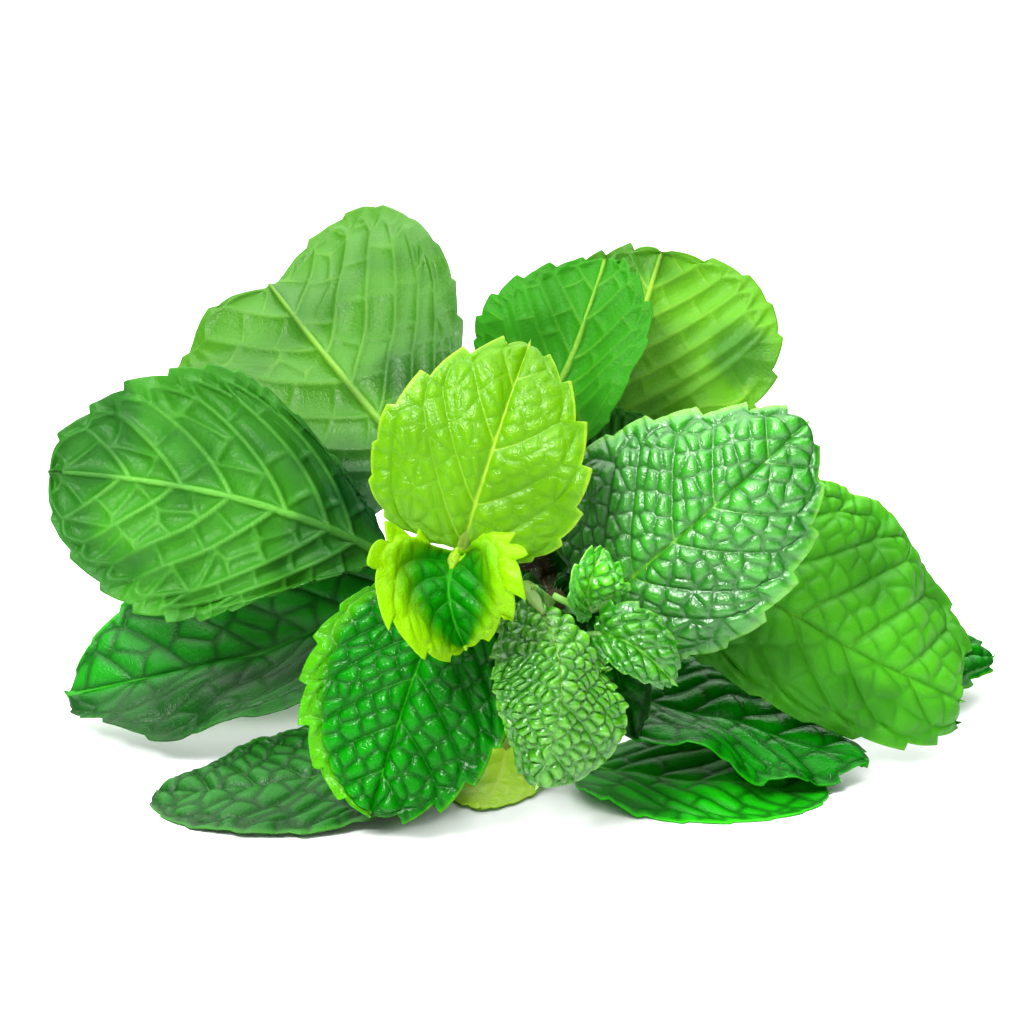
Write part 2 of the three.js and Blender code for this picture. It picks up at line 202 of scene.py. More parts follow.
def tube(path: Array, radii: Array, section: Array, up: Array) -> tuple[Array, list[Array]]:
    """A closed tube: the section is carried along the path, square to it, and faces outwards.

    Args:
        path: points along its axis.
        radii: a radius for each.
        section: angles and shares of the radius round it, in two columns.
        up: the direction of the section's second axis.

    Returns:
        The points, rings first and then the two end points, and the faces.
    """
    forward = unit(np.gradient(path, axis=0))
    second = unit(up - (up * forward).sum(-1, keepdims=True) * forward)
    first = np.cross(forward, second)
    angle, share = section[:, 0], section[:, 1]
    rings = path[:, None] + radii[:, None, None] * share[None, :, None] * (
        np.cos(angle)[None, :, None] * first[:, None] + np.sin(angle)[None, :, None] * second[:, None])
    count, around = len(path), len(angle)
    i, j = np.meshgrid(np.arange(count - 1), np.arange(around), indexing="ij")
    a, b = (i * around + j).ravel(), (i * around + (j + 1) % around).ravel()
    quads = np.stack([a, a + around, b + around, b], -1)
    k = np.arange(around)
    foot, head = count * around, count * around + 1
    last = (count - 1) * around
    near = np.stack([np.full(around, foot), k, (k + 1) % around], -1)
    far = np.stack([np.full(around, head), last + (k + 1) % around, last + k], -1)
    points = np.concatenate([rings.reshape(-1, 3), path[:1], path[-1:]])
    return points, [block[:, ::-1] for block in (quads, near, far)]


class Shade:
    """A socket of a node tree with arithmetic, which adds Math nodes."""

    def __init__(self, tree: "Paint", socket: bpy.types.NodeSocket) -> None:
        """Keeps the tree and the socket."""
        self.tree = tree
        self.socket = socket

    def _do(self, operation: str, first: Any, second: Any = 0.0) -> "Shade":
        """One Math node on two values or sockets."""
        node = self.tree.node("ShaderNodeMath", {"operation": operation}, {0: first, 1: second})
        return Shade(self.tree, node.outputs[0])

    def __add__(self, other: Any) -> "Shade":
        """The sum."""
        return self._do("ADD", self, other)

    def __mul__(self, other: Any) -> "Shade":
        """The product."""
        return self._do("MULTIPLY", self, other)

    def __sub__(self, other: Any) -> "Shade":
        """The difference."""
        return self._do("SUBTRACT", self, other)

    def __rsub__(self, other: Any) -> "Shade":
        """The difference from another value."""
        return self._do("SUBTRACT", other, self)

    __radd__ = __add__
    __rmul__ = __mul__

    def ramp(self, low: float, high: float) -> "Shade":
        """Zero below low and one above high, smooth between."""
        node = self.tree.node("ShaderNodeMapRange", {"interpolation_type": "SMOOTHSTEP"},
                              {0: self, 1: low, 2: high, 3: 0.0, 4: 1.0})
        return Shade(self.tree, node.outputs[0])


class Paint:
    """A material and the nodes that make it."""

    def __init__(self, name: str) -> None:
        """Starts a material with only its output.

        Args:
            name: the material's name.
        """
        self.material = bpy.data.materials.new(name)
        self.material.use_nodes = True
        self.tree = self.material.node_tree
        self.tree.nodes.clear()
        self.output = self.node("ShaderNodeOutputMaterial", {}, {})

    def node(self, kind: str, settings: dict[str, Any], inputs: dict[Any, Any]) -> bpy.types.Node:
        """Adds a node.

        Args:
            kind: the node's type.
            settings: its settings, such as an operation, set first.
            inputs: a value, a socket or a Shade for each input, by its name or number.

        Returns:
            The node.
        """
        made = self.tree.nodes.new(kind)
        for name, value in settings.items():
            setattr(made, name, value)
        for key, value in inputs.items():
            if isinstance(value, Shade):
                value = value.socket
            if isinstance(value, bpy.types.NodeSocket):
                self.tree.links.new(value, made.inputs[key])
            else:
                made.inputs[key].default_value = value
        return made

    def mark(self, name: str) -> Shade:
        """One of the mesh's own values."""
        return Shade(self, self.node("ShaderNodeAttribute", {"attribute_name": name}, {}).outputs["Fac"])

    def place(self) -> bpy.types.NodeSocket:
        """The object's own coordinates, in metres."""
        return self.node("ShaderNodeTexCoord", {}, {}).outputs["Object"]

    def noise(self, size_mm: float, detail: float = 3.0, roughness: float = 0.5) -> Shade:
        """A cloudy pattern whose clouds are about so many millimetres across."""
        node = self.node("ShaderNodeTexNoise", {}, {
            "Vector": self.place(), "Scale": 1 / (size_mm * MM), "Detail": detail, "Roughness": roughness})
        return Shade(self, node.outputs[0])

    def cells(self, size_mm: float) -> Shade:
        """The distance to the walls of irregular cells about so many millimetres across."""
        node = self.node("ShaderNodeTexVoronoi", {"feature": "DISTANCE_TO_EDGE"}, {
            "Vector": self.place(), "Scale": 1 / (size_mm * MM)})
        return Shade(self, node.outputs["Distance"])

    def blend(self, share: Any, first: Any, second: Any) -> bpy.types.NodeSocket:
        """A colour between two.

        Args:
            share: 0 for the first and 1 for the second.
            first: a colour or a socket.
            second: the other one.

        Returns:
            The colour's socket.
        """
        full = [(*c, 1.0) if isinstance(c, tuple) else c for c in (first, second)]
        node = self.node("ShaderNodeMix", {"data_type": "RGBA"}, {0: share, 6: full[0], 7: full[1]})
        return node.outputs[2]

    def bump(self, height: Shade, strength: float, depth_mm: float) -> bpy.types.NodeSocket:
        """A normal that follows a height of so many millimetres."""
        node = self.node("ShaderNodeBump", {}, {
            "Strength": strength, "Distance": depth_mm * MM, "Height": height})
        return node.outputs[0]

    def surface(self, socket: bpy.types.NodeSocket) -> bpy.types.Material:
        """Sets the shader that is seen, and gives the material."""
        self.tree.links.new(socket, self.output.inputs["Surface"])
        return self.material


@dataclass(frozen=True)
class Tone:
    """The skin of one kind of leaf: its colours, in linear light, and its surface.

    hollow and crown colour the upper side between the veins and on top of its cells: the darker
    hollows are painted shade and the paler crowns painted light. edge colours the margin, and
    along a rolled margin it is a painted highlight. glow is the light that comes through, by
    glow_share. blotch is the share of darker clouds. rim_start is where the margin's colour
    starts, as a share of the way to it. gloss is the strength of the highlights, and fine_bump
    that of the smallest wrinkles.
    """

    hollow: Colour
    crown: Colour
    vein: Colour
    under: Colour
    under_vein: Colour
    glow: Colour
    glow_share: float = 0.3
    upper_roughness: float = 0.3
    under_roughness: float = 0.55
    blotch: float = 0.25
    rim_start: float = 0.965
    gloss: float = 0.55
    fine_bump: float = 0.35
    edge: Colour | None = None

    def tinted(self, tint: Colour) -> "Tone":
        """The tone with all its colours multiplied, and its veins' colour for a missing edge.

        Args:
            tint: the factors.

        Returns:
            The new tone.
        """
        names = ("hollow", "crown", "vein", "under", "under_vein", "glow", "edge")
        colours = {name: getattr(self, name) or self.vein for name in names}
        return replace(self, **{
            name: tuple(min(1.0, a * b) for a, b in zip(colour, tint)) for name, colour in colours.items()})

    def material(self, name: str) -> bpy.types.Material:
        """Makes the skin: puffed cells between paler veins, satin above, matt below, lit through.

        Args:
            name: the material's name.

        Returns:
            The material.
        """
        paint = Paint(name)
        vein, crown, under = paint.mark("vein"), paint.mark("crown"), paint.mark("under")
        stalk, rim = paint.mark("stalk"), paint.mark("rim")
        clouds = paint.noise(13.0, 2.0).ramp(0.42, 0.62)
        grain = paint.noise(0.5, 4.0, 0.6)
        wrinkles = paint.cells(0.75).ramp(0.0, 0.16)
        # The hollows between the cells take the darker colour as painted shade, and the cells' tops the
        # paler one as painted light
        upper = paint.blend(crown * 0.8 + grain * 0.3 - 0.05, self.hollow, self.crown)
        upper = paint.blend(vein.ramp(0.25, 1.0) * 0.8, upper, self.vein)
        # The margin's edge colour, which is also a painted highlight along a rolled margin
        upper = paint.blend(rim * 0.7, upper, self.edge)
        lower = paint.blend(vein.ramp(0.15, 0.9), self.under, self.under_vein)
        colour = paint.blend(under, upper, lower)
        # Darker clouds of random tone and the painted shade both blend towards this darker colour, and a
        # negative painted shade lightens as painted light
        blotch_and_painted_shade = tuple(0.7 * c for c in self.hollow)
        colour = paint.blend(clouds * self.blotch + paint.mark("deep"), colour, blotch_and_painted_shade)
        colour = paint.blend(stalk * 0.9, colour, tuple(0.6 * c for c in self.under_vein))
        rough = self.upper_roughness + under * (self.under_roughness - self.upper_roughness)
        rough = rough + (grain - 0.5) * 0.25 + vein * 0.08
        skin = paint.node("ShaderNodeBsdfPrincipled", {}, {
            "Base Color": colour, "Roughness": rough, "Specular IOR Level": self.gloss,
            "Normal": paint.bump(wrinkles * 0.6 + grain * 0.7, self.fine_bump, 0.12)})
        through = paint.node("ShaderNodeBsdfTranslucent", {}, {"Color": (*self.glow, 1.0)})
        mixed = paint.node("ShaderNodeMixShader", {}, {
            0: self.glow_share, 1: skin.outputs[0], 2: through.outputs[0]})
        return paint.surface(mixed.outputs[0])


@dataclass(frozen=True)
class StemSkin:
    """The stem's skin: green grooves between red-brown ribs, with a pale cut end."""

    groove: Colour = (0.02, 0.05, 0.006)
    rib: Colour = (0.05, 0.016, 0.008)
    cut: Colour = (0.55, 0.62, 0.33)
    roughness: float = 0.5
    gloss: float = 0.2

    def material(self) -> bpy.types.Material:
        """Makes the skin.

        Returns:
            The material.
        """
        paint = Paint("stem_skin")
        rib, cut = paint.mark("rib"), paint.mark("cut")
        clouds = paint.noise(3.0, 3.0).ramp(0.3, 0.7)
        colour = paint.blend(rib * 0.5 + clouds * 0.5, self.groove, self.rib)
        colour = paint.blend(cut.ramp(0.1, 0.6), colour, self.cut)
        grain = paint.noise(0.4, 4.0)
        skin = paint.node("ShaderNodeBsdfPrincipled", {}, {
            "Base Color": colour, "Roughness": grain * 0.2 + self.roughness,
            "Specular IOR Level": self.gloss, "Normal": paint.bump(grain, 0.4, 0.1)})
        return paint.surface(skin.outputs[0])


@dataclass(frozen=True)
class HairSkin:
    """The hairs' clear pale skin."""

    shade: Colour = (0.75, 0.85, 0.6)
    light: Colour = (0.9, 0.92, 0.85)
    roughness: float = 0.4

    def material(self) -> bpy.types.Material:
        """Makes the skin.

        Returns:
            The material.
        """
        paint = Paint("hairs")
        skin = paint.node("ShaderNodeBsdfPrincipled", {}, {
            "Base Color": paint.blend(paint.noise(0.6), self.shade, self.light),
            "Roughness": self.roughness})
        return paint.surface(skin.outputs[0])


@dataclass(frozen=True)
class Veins:
    """Distances over one half of a blade to its veins, in millimetres.

    side is the distance to the nearest side vein or loop, and side_width that vein's width. cell
    is the distance to the nearest wall between cells, and midrib that to the midrib.
    """

    side: Array
    side_width: Array
    cell: Array
    midrib: Array


@dataclass(frozen=True)
class Relief:
    """How far a blade swells between its veins, in millimetres, and how its veins are laid.

    band, cell and midrib are the rises between side veins, inside the cells' walls and beside
    the midrib, and wave is that of the whole blade's soft waviness. cell_size is the distance
    between cells, and a cell's rise levels off cell_dome from its wall. vein_share scales the
    side veins' ridges. vein_angle is the side veins' angle to the midrib, in degrees, in the left
    and the right half, and vein_arch bends them forward.
    """

    band: float = 0.55
    cell: float = 0.3
    midrib: float = 0.4
    wave: float = 0.5
    cell_size: float = 2.3
    cell_dome: float = 1.1
    vein_share: float = 1.0
    side_veins: int = 5
    vein_angle: Pair = (54, 54)
    vein_arch: float = 0.16


@dataclass(frozen=True)
class Ruffle:
    """A place where a half's margin lifts (or drops, where height is negative), in millimetres
    and shares of the blade's length."""

    half: Half
    place: float
    height: float
    width: float

    def lift(self, x: Array, shares: Array) -> Array:
        """The lift: height * exp(-((x - place) / width)^2) * share^2."""
        return self.height * bell(x - self.place, self.width) * shares**2


@dataclass(frozen=True)
class Leaf:
    """One leaf: its blade's outline and bend, its petiole, its relief and its tone.

    rib has the midrib's base, middle and tip, foot is where the petiole starts, at or near the
    stem, and face has the directions that the upper side looks in at the base and the tip. half
    has the halves' widths. Pairs of values belong to the left and the right half.

    fold is the half's rise at the midrib and curl its further bend out to the margin, in degrees.
    flare bends the part beyond flare_start further, roll lifts the margin, and ruffles lift
    places on it. egg, point, lobe and notch shape the outline. tint multiplies the tone's
    colours. The pairs of painted shade give the share of a darker painted shade colour in the
    skin at the base and the tip of each half, and a negative share paints light there.
    """

    node: str
    tone: Tone
    teeth: int
    tooth: float
    rib: tuple[Point, Point, Point]
    foot: Point
    face: tuple[Point, Point]
    half: Pair
    fold: Pair = (0, 0)
    curl: Pair = (0, 0)
    egg: Pair = (0.25, 0.25)
    point: Pair = (0.35, 0.35)
    lobe: Pair = (0.06, 0.06)
    notch: Pair = (0, 0)
    roll: Pair = (0, 0)
    flare: Pair = (0, 0)
    flare_start: float = 0.5
    shown: Shown = Shown.UPPER
    tint: Colour = (1, 1, 1)
    ruffles: tuple[Ruffle, ...] = ()
    deep: tuple[Pair, Pair] = ((0, 0), (0, 0))
    relief: Relief = Relief()
    rows_per_tooth: int = 20
    columns: int = 72
    seed: int = 1

    def rib_at(self, u: Array) -> tuple[Array, Array]:
        """The midrib: the parabola through its three points, drawn on straight before the base.

        Args:
            u: places along the midrib, 0 at the base and 1 at the tip.

        Returns:
            The points and the slopes there.
        """
        knots = np.asarray(self.rib, float)
        c = np.clip(u, 0, 1)[..., None]
        points = ((1 - c) * (1 - 2 * c) * knots[0] + 4 * c * (1 - c) * knots[1]
                  + c * (2 * c - 1) * knots[2])
        slopes = (4 * c - 3) * knots[0] + (4 - 8 * c) * knots[1] + (4 * c - 1) * knots[2]
        return points + (u[..., None] - c) * slopes, slopes

    @property
    def length(self) -> float:
        """The midrib's length, as the sum of forty short chords."""
        points, _ = self.rib_at(np.linspace(0, 1, 41))
        return float(np.linalg.norm(np.diff(points, axis=0), axis=1).sum())

    def margin(self, theta: Array, half: Half) -> tuple[Array, Array]:
        """The flat outline: an ellipse made egg-shaped, pointed, lobed at the base and notched.

        Args:
            theta: angles from 0 at the base to pi at the tip.
            half: the half of the blade.

        Returns:
            Lengths along the midrib and across it.
        """
        k = half.value
        x = (1 - np.cos(theta)) / 2
        across = np.sin(theta)
        shift = self.notch[k] * across * x**2 - self.lobe[k] * across * (1 - x) ** 2
        egg = 1 + self.egg[k] * np.cos(theta)
        return self.length * (x + shift), self.half[k] * across ** (1 + self.point[k] * x**2) * egg

    def flat(self, theta: Array, v: Array, half: Half, toothed: bool = True) -> tuple[Array, Array]:
        """A flat blade point: rows sweep from the midrib to the margin as the side veins do.

        Args:
            theta: the row's angle.
            v: 0 at the midrib and 1 at the margin.
            half: the half of the blade.
            toothed: whether the margin has its teeth, a saw wave that leans to the tip.

        Returns:
            Lengths along the midrib and across it.
        """
        along, across = self.margin(theta, half)
        start = self.length * ((1 - np.cos(theta)) / 2) ** SIDE_VEIN_SWEEP
        s = start + (along - start) * v**SIDE_VEIN_ARCH
        t = across * v
        if not toothed:
            return s, t
        turns = theta / np.pi * self.teeth
        phase = turns % 1
        rising = phase < TOOTH_PEAK
        saw = np.where(rising, (phase / TOOTH_PEAK) ** TOOTH_SWELL, (1 - phase) / (1 - TOOTH_PEAK))
        uneven = np.sin(7.1 * np.floor(turns) + 3 * self.seed + half.value)
        saw = saw * (TOOTH_MEAN + TOOTH_SPREAD * uneven)
        before = self.margin(np.maximum(theta - MARGIN_STEP, 0), half)
        after = self.margin(np.minimum(theta + MARGIN_STEP, np.pi), half)
        ds, dt = after[0] - before[0], after[1] - before[1]
        run = np.hypot(ds, dt) + 1e-9
        size = self.tooth * np.minimum(1, TOOTH_FADE * np.sin(theta)) * v**TOOTH_ROOT * saw / run
        return (s + size * (TOOTH_LEAN * ds - TOOTH_OUT * dt),
                t + size * (TOOTH_LEAN * dt + TOOTH_OUT * ds))

    def bend(self, s: Array, t: Array, v: Array, half: Half) -> Array:
        """Bends flat points onto the folded and curled blade.

        Across the blade the surface is a circle's arc that starts at the fold angle, so its rise
        is (cos fold - cos angle) / curl and its reach (sin angle - sin fold) / curl. Where the
        outer part flares, both are running sums of the sine and the cosine of the angle. The
        rolled margin adds a rise that grows as the square of the way over the outer sixth.

        Args:
            s: lengths along the midrib.
            t: lengths across it.
            v: the share of the way to the margin.
            half: the half of the blade.

        Returns:
            The points, in millimetres.
        """
        k = half.value
        u = s / self.length
        points, slopes = self.rib_at(u)
        forward = unit(slopes)
        ends = np.asarray(self.face, float)
        up = ends[0] + (ends[1] - ends[0]) * np.clip(u, 0, 1)[..., None]
        up = unit(up - (up * forward).sum(-1, keepdims=True) * forward)
        right = np.cross(forward, up) * half.sign
        fold, turn, flare = (math.radians(pair[k]) for pair in (self.fold, self.curl, self.flare))
        if flare:
            steps = np.linspace(0, 1.2, 121)
            angles = fold + turn * steps + flare * smooth(steps, self.flare_start, 1)
            sums = [np.cumsum(wave(angles)) / 100 for wave in (np.cos, np.sin)]
            width = t / np.maximum(v, 0.02)
            reach, rise = (width * np.interp(v, steps, total) for total in sums)
        else:
            curl = turn / self.half[k] or 1e-6
            angle = fold + curl * t
            reach = (np.sin(angle) - math.sin(fold)) / curl
            rise = (math.cos(fold) - np.cos(angle)) / curl
        outer = np.clip((v - ROLL_START) / (1 - ROLL_START), 0, 1)
        rise = rise + self.roll[k] * outer**2
        reach = reach - ROLL_DRAW * abs(self.roll[k]) * outer**3
        return points + right * reach[..., None] + up * rise[..., None]


class VeinNet:
    """The veins of one half: side veins that arch into loops, and the cells between them.

    The side veins are the lines on which q = s / L - lean * t / W - arch * (t / W)^2 has the
    values of knots, where L is the blade's length and W the half's width.
    """

    def __init__(self, leaf: Leaf, half: Half, draws: np.random.Generator) -> None:
        """Lays out the veins.

        Args:
            leaf: the leaf.
            half: its half.
            draws: the source of the cells' irregular places.
        """
        self.leaf, self.half = leaf, half
        self.long, self.wide = leaf.length, leaf.half[half.value]
        angle = math.radians(leaf.relief.vein_angle[half.value])
        self.lean = self.wide / self.long / math.tan(angle)
        self.arch = leaf.relief.vein_arch
        self.corner = CORNER * leaf.relief.cell_size / 2
        count = leaf.relief.side_veins
        places = FIRST_VEIN + VEIN_SPAN * (np.arange(count) / (count - 1)) ** VEIN_CROWDING
        places[1:] += draws.uniform(-VEIN_SCATTER, VEIN_SCATTER, count - 1)
        self.knots = np.concatenate([OUTER_BANDS[:1], places, OUTER_BANDS[1:]])
        self.seeds, self.zones = self._seeds(draws)

    def _seeds(self, draws: np.random.Generator) -> tuple[Array, Array]:
        """Lays one point inside each cell, in ranks between the side veins, like uneven bricks.

        Args:
            draws: the source of the irregular places.

        Returns:
            The points, and the number of the band that each is in.
        """
        seeds, zones = [], []
        size = self.leaf.relief.cell_size
        files = max(2, round(self.wide / size))
        for k in range(len(self.knots) - 1):
            low, high = self.knots[k], self.knots[k + 1]
            ranks = max(1, round((high - low) * self.long * RANK_DENSITY / size))
            for i in range(ranks):
                scatter = draws.uniform(-SEED_SCATTER, SEED_SCATTER, (2, files))
                q = low + (high - low) * (i + 0.5 + scatter[0]) / ranks
                brick = BRICK_SHIFT if i % 2 else -BRICK_SHIFT
                across = (np.arange(files) + 0.5 + brick + scatter[1]) / files
                along = q + self.lean * across + self.arch * across**2
                seeds.append(np.stack([along * self.long, across * self.wide], -1))
                zones.append(np.full(files, k))
        notches = np.arange(2 * self.leaf.teeth + 1) / (2 * self.leaf.teeth) * np.pi
        s, t = self.leaf.flat(notches, np.full_like(notches, MARGIN_SEEDS), self.half, False)
        seeds.append(np.stack([s, t], -1))
        zones.append(np.full(len(notches), MARGIN_ZONE))
        return np.concatenate(seeds), np.concatenate(zones)

    def measure(self, v: Array, s: Array, t: Array) -> Veins:
        """Measures every point's distance to the veins.

        A side vein's distance is the difference in q over the length of q's slope. The distance
        to a wall between two cells is the difference of the squared distances to their seeds
        over twice the seeds' distance from one another, and -c log(sum(exp(-wall / c))) rounds
        the cells' corners.

        Args:
            v: the shares of the way to the margin.
            s: lengths along the midrib.
            t: lengths across it.

        Returns:
            The distances, in the shape of the grid.
        """
        share = t / self.wide
        q = s / self.long - self.lean * share - self.arch * share**2
        slope = np.hypot(1 / self.long, (self.lean + 2 * self.arch * share) / self.wide)
        band = np.interp(q, self.knots, np.arange(len(self.knots)))
        inner = self.knots[1:-1]
        side = np.abs(q[..., None] - inner).min(-1) / slope
        part = band - np.floor(band)
        loop = LOOP_PLACE + LOOP_SCALLOP * np.sin(np.pi * part)
        to_loop = np.abs(v - loop) * t / np.maximum(v, 0.05)
        within = v < loop
        side = np.where(within, side, NO_VEIN)
        width = np.where(side < to_loop, SIDE_VEIN_WIDTH - SIDE_VEIN_TAPER * v, LOOP_WIDTH)
        zone = np.where(within, np.floor(band), MARGIN_ZONE).ravel()
        cell = self._walls(np.stack([s.ravel(), t.ravel()], -1), zone)
        return Veins(np.minimum(side, to_loop), width, cell.reshape(t.shape), np.abs(t))

    def _walls(self, places: Array, zone: Array) -> Array:
        """The distance from each place to the nearest wall of its own cell.

        Args:
            places: flat places, in two columns.
            zone: the band that each is in.

        Returns:
            The distances.
        """
        places = places.astype(np.float32)
        seeds = self.seeds.astype(np.float32)
        apart = np.linalg.norm(seeds[:, None] - seeds[None], axis=-1) + 1e-6
        cell = np.empty(len(places), np.float32)
        for start in range(0, len(places), CHUNK):
            chunk = slice(start, start + CHUNK)
            squares = ((places[chunk][:, None] - seeds[None]) ** 2).sum(-1)
            squares = squares + np.where(zone[chunk][:, None] == self.zones[None], 0, OTHER_ZONE)
            rows = np.arange(len(squares))
            own = squares.argmin(1)
            wall = (squares - squares[rows, own][:, None]) / (2 * apart[own])
            wall[rows, own] = np.inf
            near = np.exp(-np.minimum(wall, WALL_LIMIT) / self.corner).sum(1)
            cell[chunk] = np.clip(-self.corner * np.log(near), 0, CELL_LIMIT)
        return cell


@dataclass
class Mould:
    """Points, faces and named marks that are gathered into one mesh."""

    points: list[Array] = field(default_factory=list)
    faces: list[Array] = field(default_factory=list)
    marks: dict[str, list[Array]] = field(default_factory=dict)
    count: int = 0

    def add(self, points: Array, faces: Iterable[Array], **marks: Array) -> None:
        """Adds points and faces to what is there.

        Args:
            points: the points.
            faces: blocks of faces, whose numbers count from the first of these points.
            marks: for each mark's name, one value or one for each point.
        """
        flat = points.reshape(-1, 3)
        self.points.append(flat)
        self.faces.extend(block + self.count for block in faces)
        for name, values in marks.items():
            spread = np.broadcast_to(values, (len(flat),)).astype(float)
            self.marks.setdefault(name, []).append(spread)
        self.count += len(flat)

    def cast(self, name: str, material: bpy.types.Material) -> bpy.types.Object:
        """Makes the object, smooth, at the origin.

        Args:
            name: the piece's name.
            material: its material.

        Returns:
            The object, linked to the scene.
        """
        mesh = bpy.data.meshes.new(name)
        places = (np.concatenate(self.points) - np.array(SPRIG_MIDDLE)) * MM
        faces = [face for block in self.faces for face in block.tolist()]
        mesh.from_pydata(places, [], faces)
        mesh.polygons.foreach_set("use_smooth", np.ones(len(mesh.polygons), bool))
        for mark, values in self.marks.items():
            layer = mesh.attributes.new(mark, "FLOAT", "POINT")
            layer.data.foreach_set("value", np.concatenate(values).astype(np.float32))
        mesh.materials.append(material)
        piece = bpy.data.objects.new(name, mesh)
        bpy.context.scene.collection.objects.link(piece)
        LOG.info("%s: %d points, %d faces", name, len(places), len(faces))
        return piece


@dataclass(frozen=True)
class Sheet:
    """A blade's middle surface, or half of it, on a grid whose rows run from base to tip.

    points are its places, swell the lift off them and ridge the depth of the veins below, in
    millimetres. vein, crown, rim and the painted shade are marks for the skin: crown is the
    cells' tops, which take painted light, rim the margin, whose rolled part takes a painted
    highlight, and the painted shade the share of a darker painted shade colour. along and
    across are flat lengths, and share is the way from the midrib to the margin.
    """

    points: Array
    swell: Array
    ridge: Array
    vein: Array
    crown: Array
    rim: Array
    deep: Array
    along: Array
    across: Array
    share: Array

    def beside(self, right: "Sheet") -> "Sheet":
        """One sheet from this left half, turned round, and the right half without its midrib."""
        halves = ((item.name, getattr(self, item.name), getattr(right, item.name)) for item in fields(self))
        return Sheet(**{name: np.concatenate([a[:, ::-1], b[:, 1:]], 1) for name, a, b in halves})

    def normals(self) -> Array:
        """The directions square to the surface, from the differences between neighbours."""
        across, along = np.gradient(self.points, axis=1), np.gradient(self.points, axis=0)
        return unit(np.cross(across, along))


@dataclass(frozen=True)
class Edges:
    """The numbers of the points on one face's left and right margins and at its base and tip."""

    left: Array
    right: Array
    base: int
    tip: int


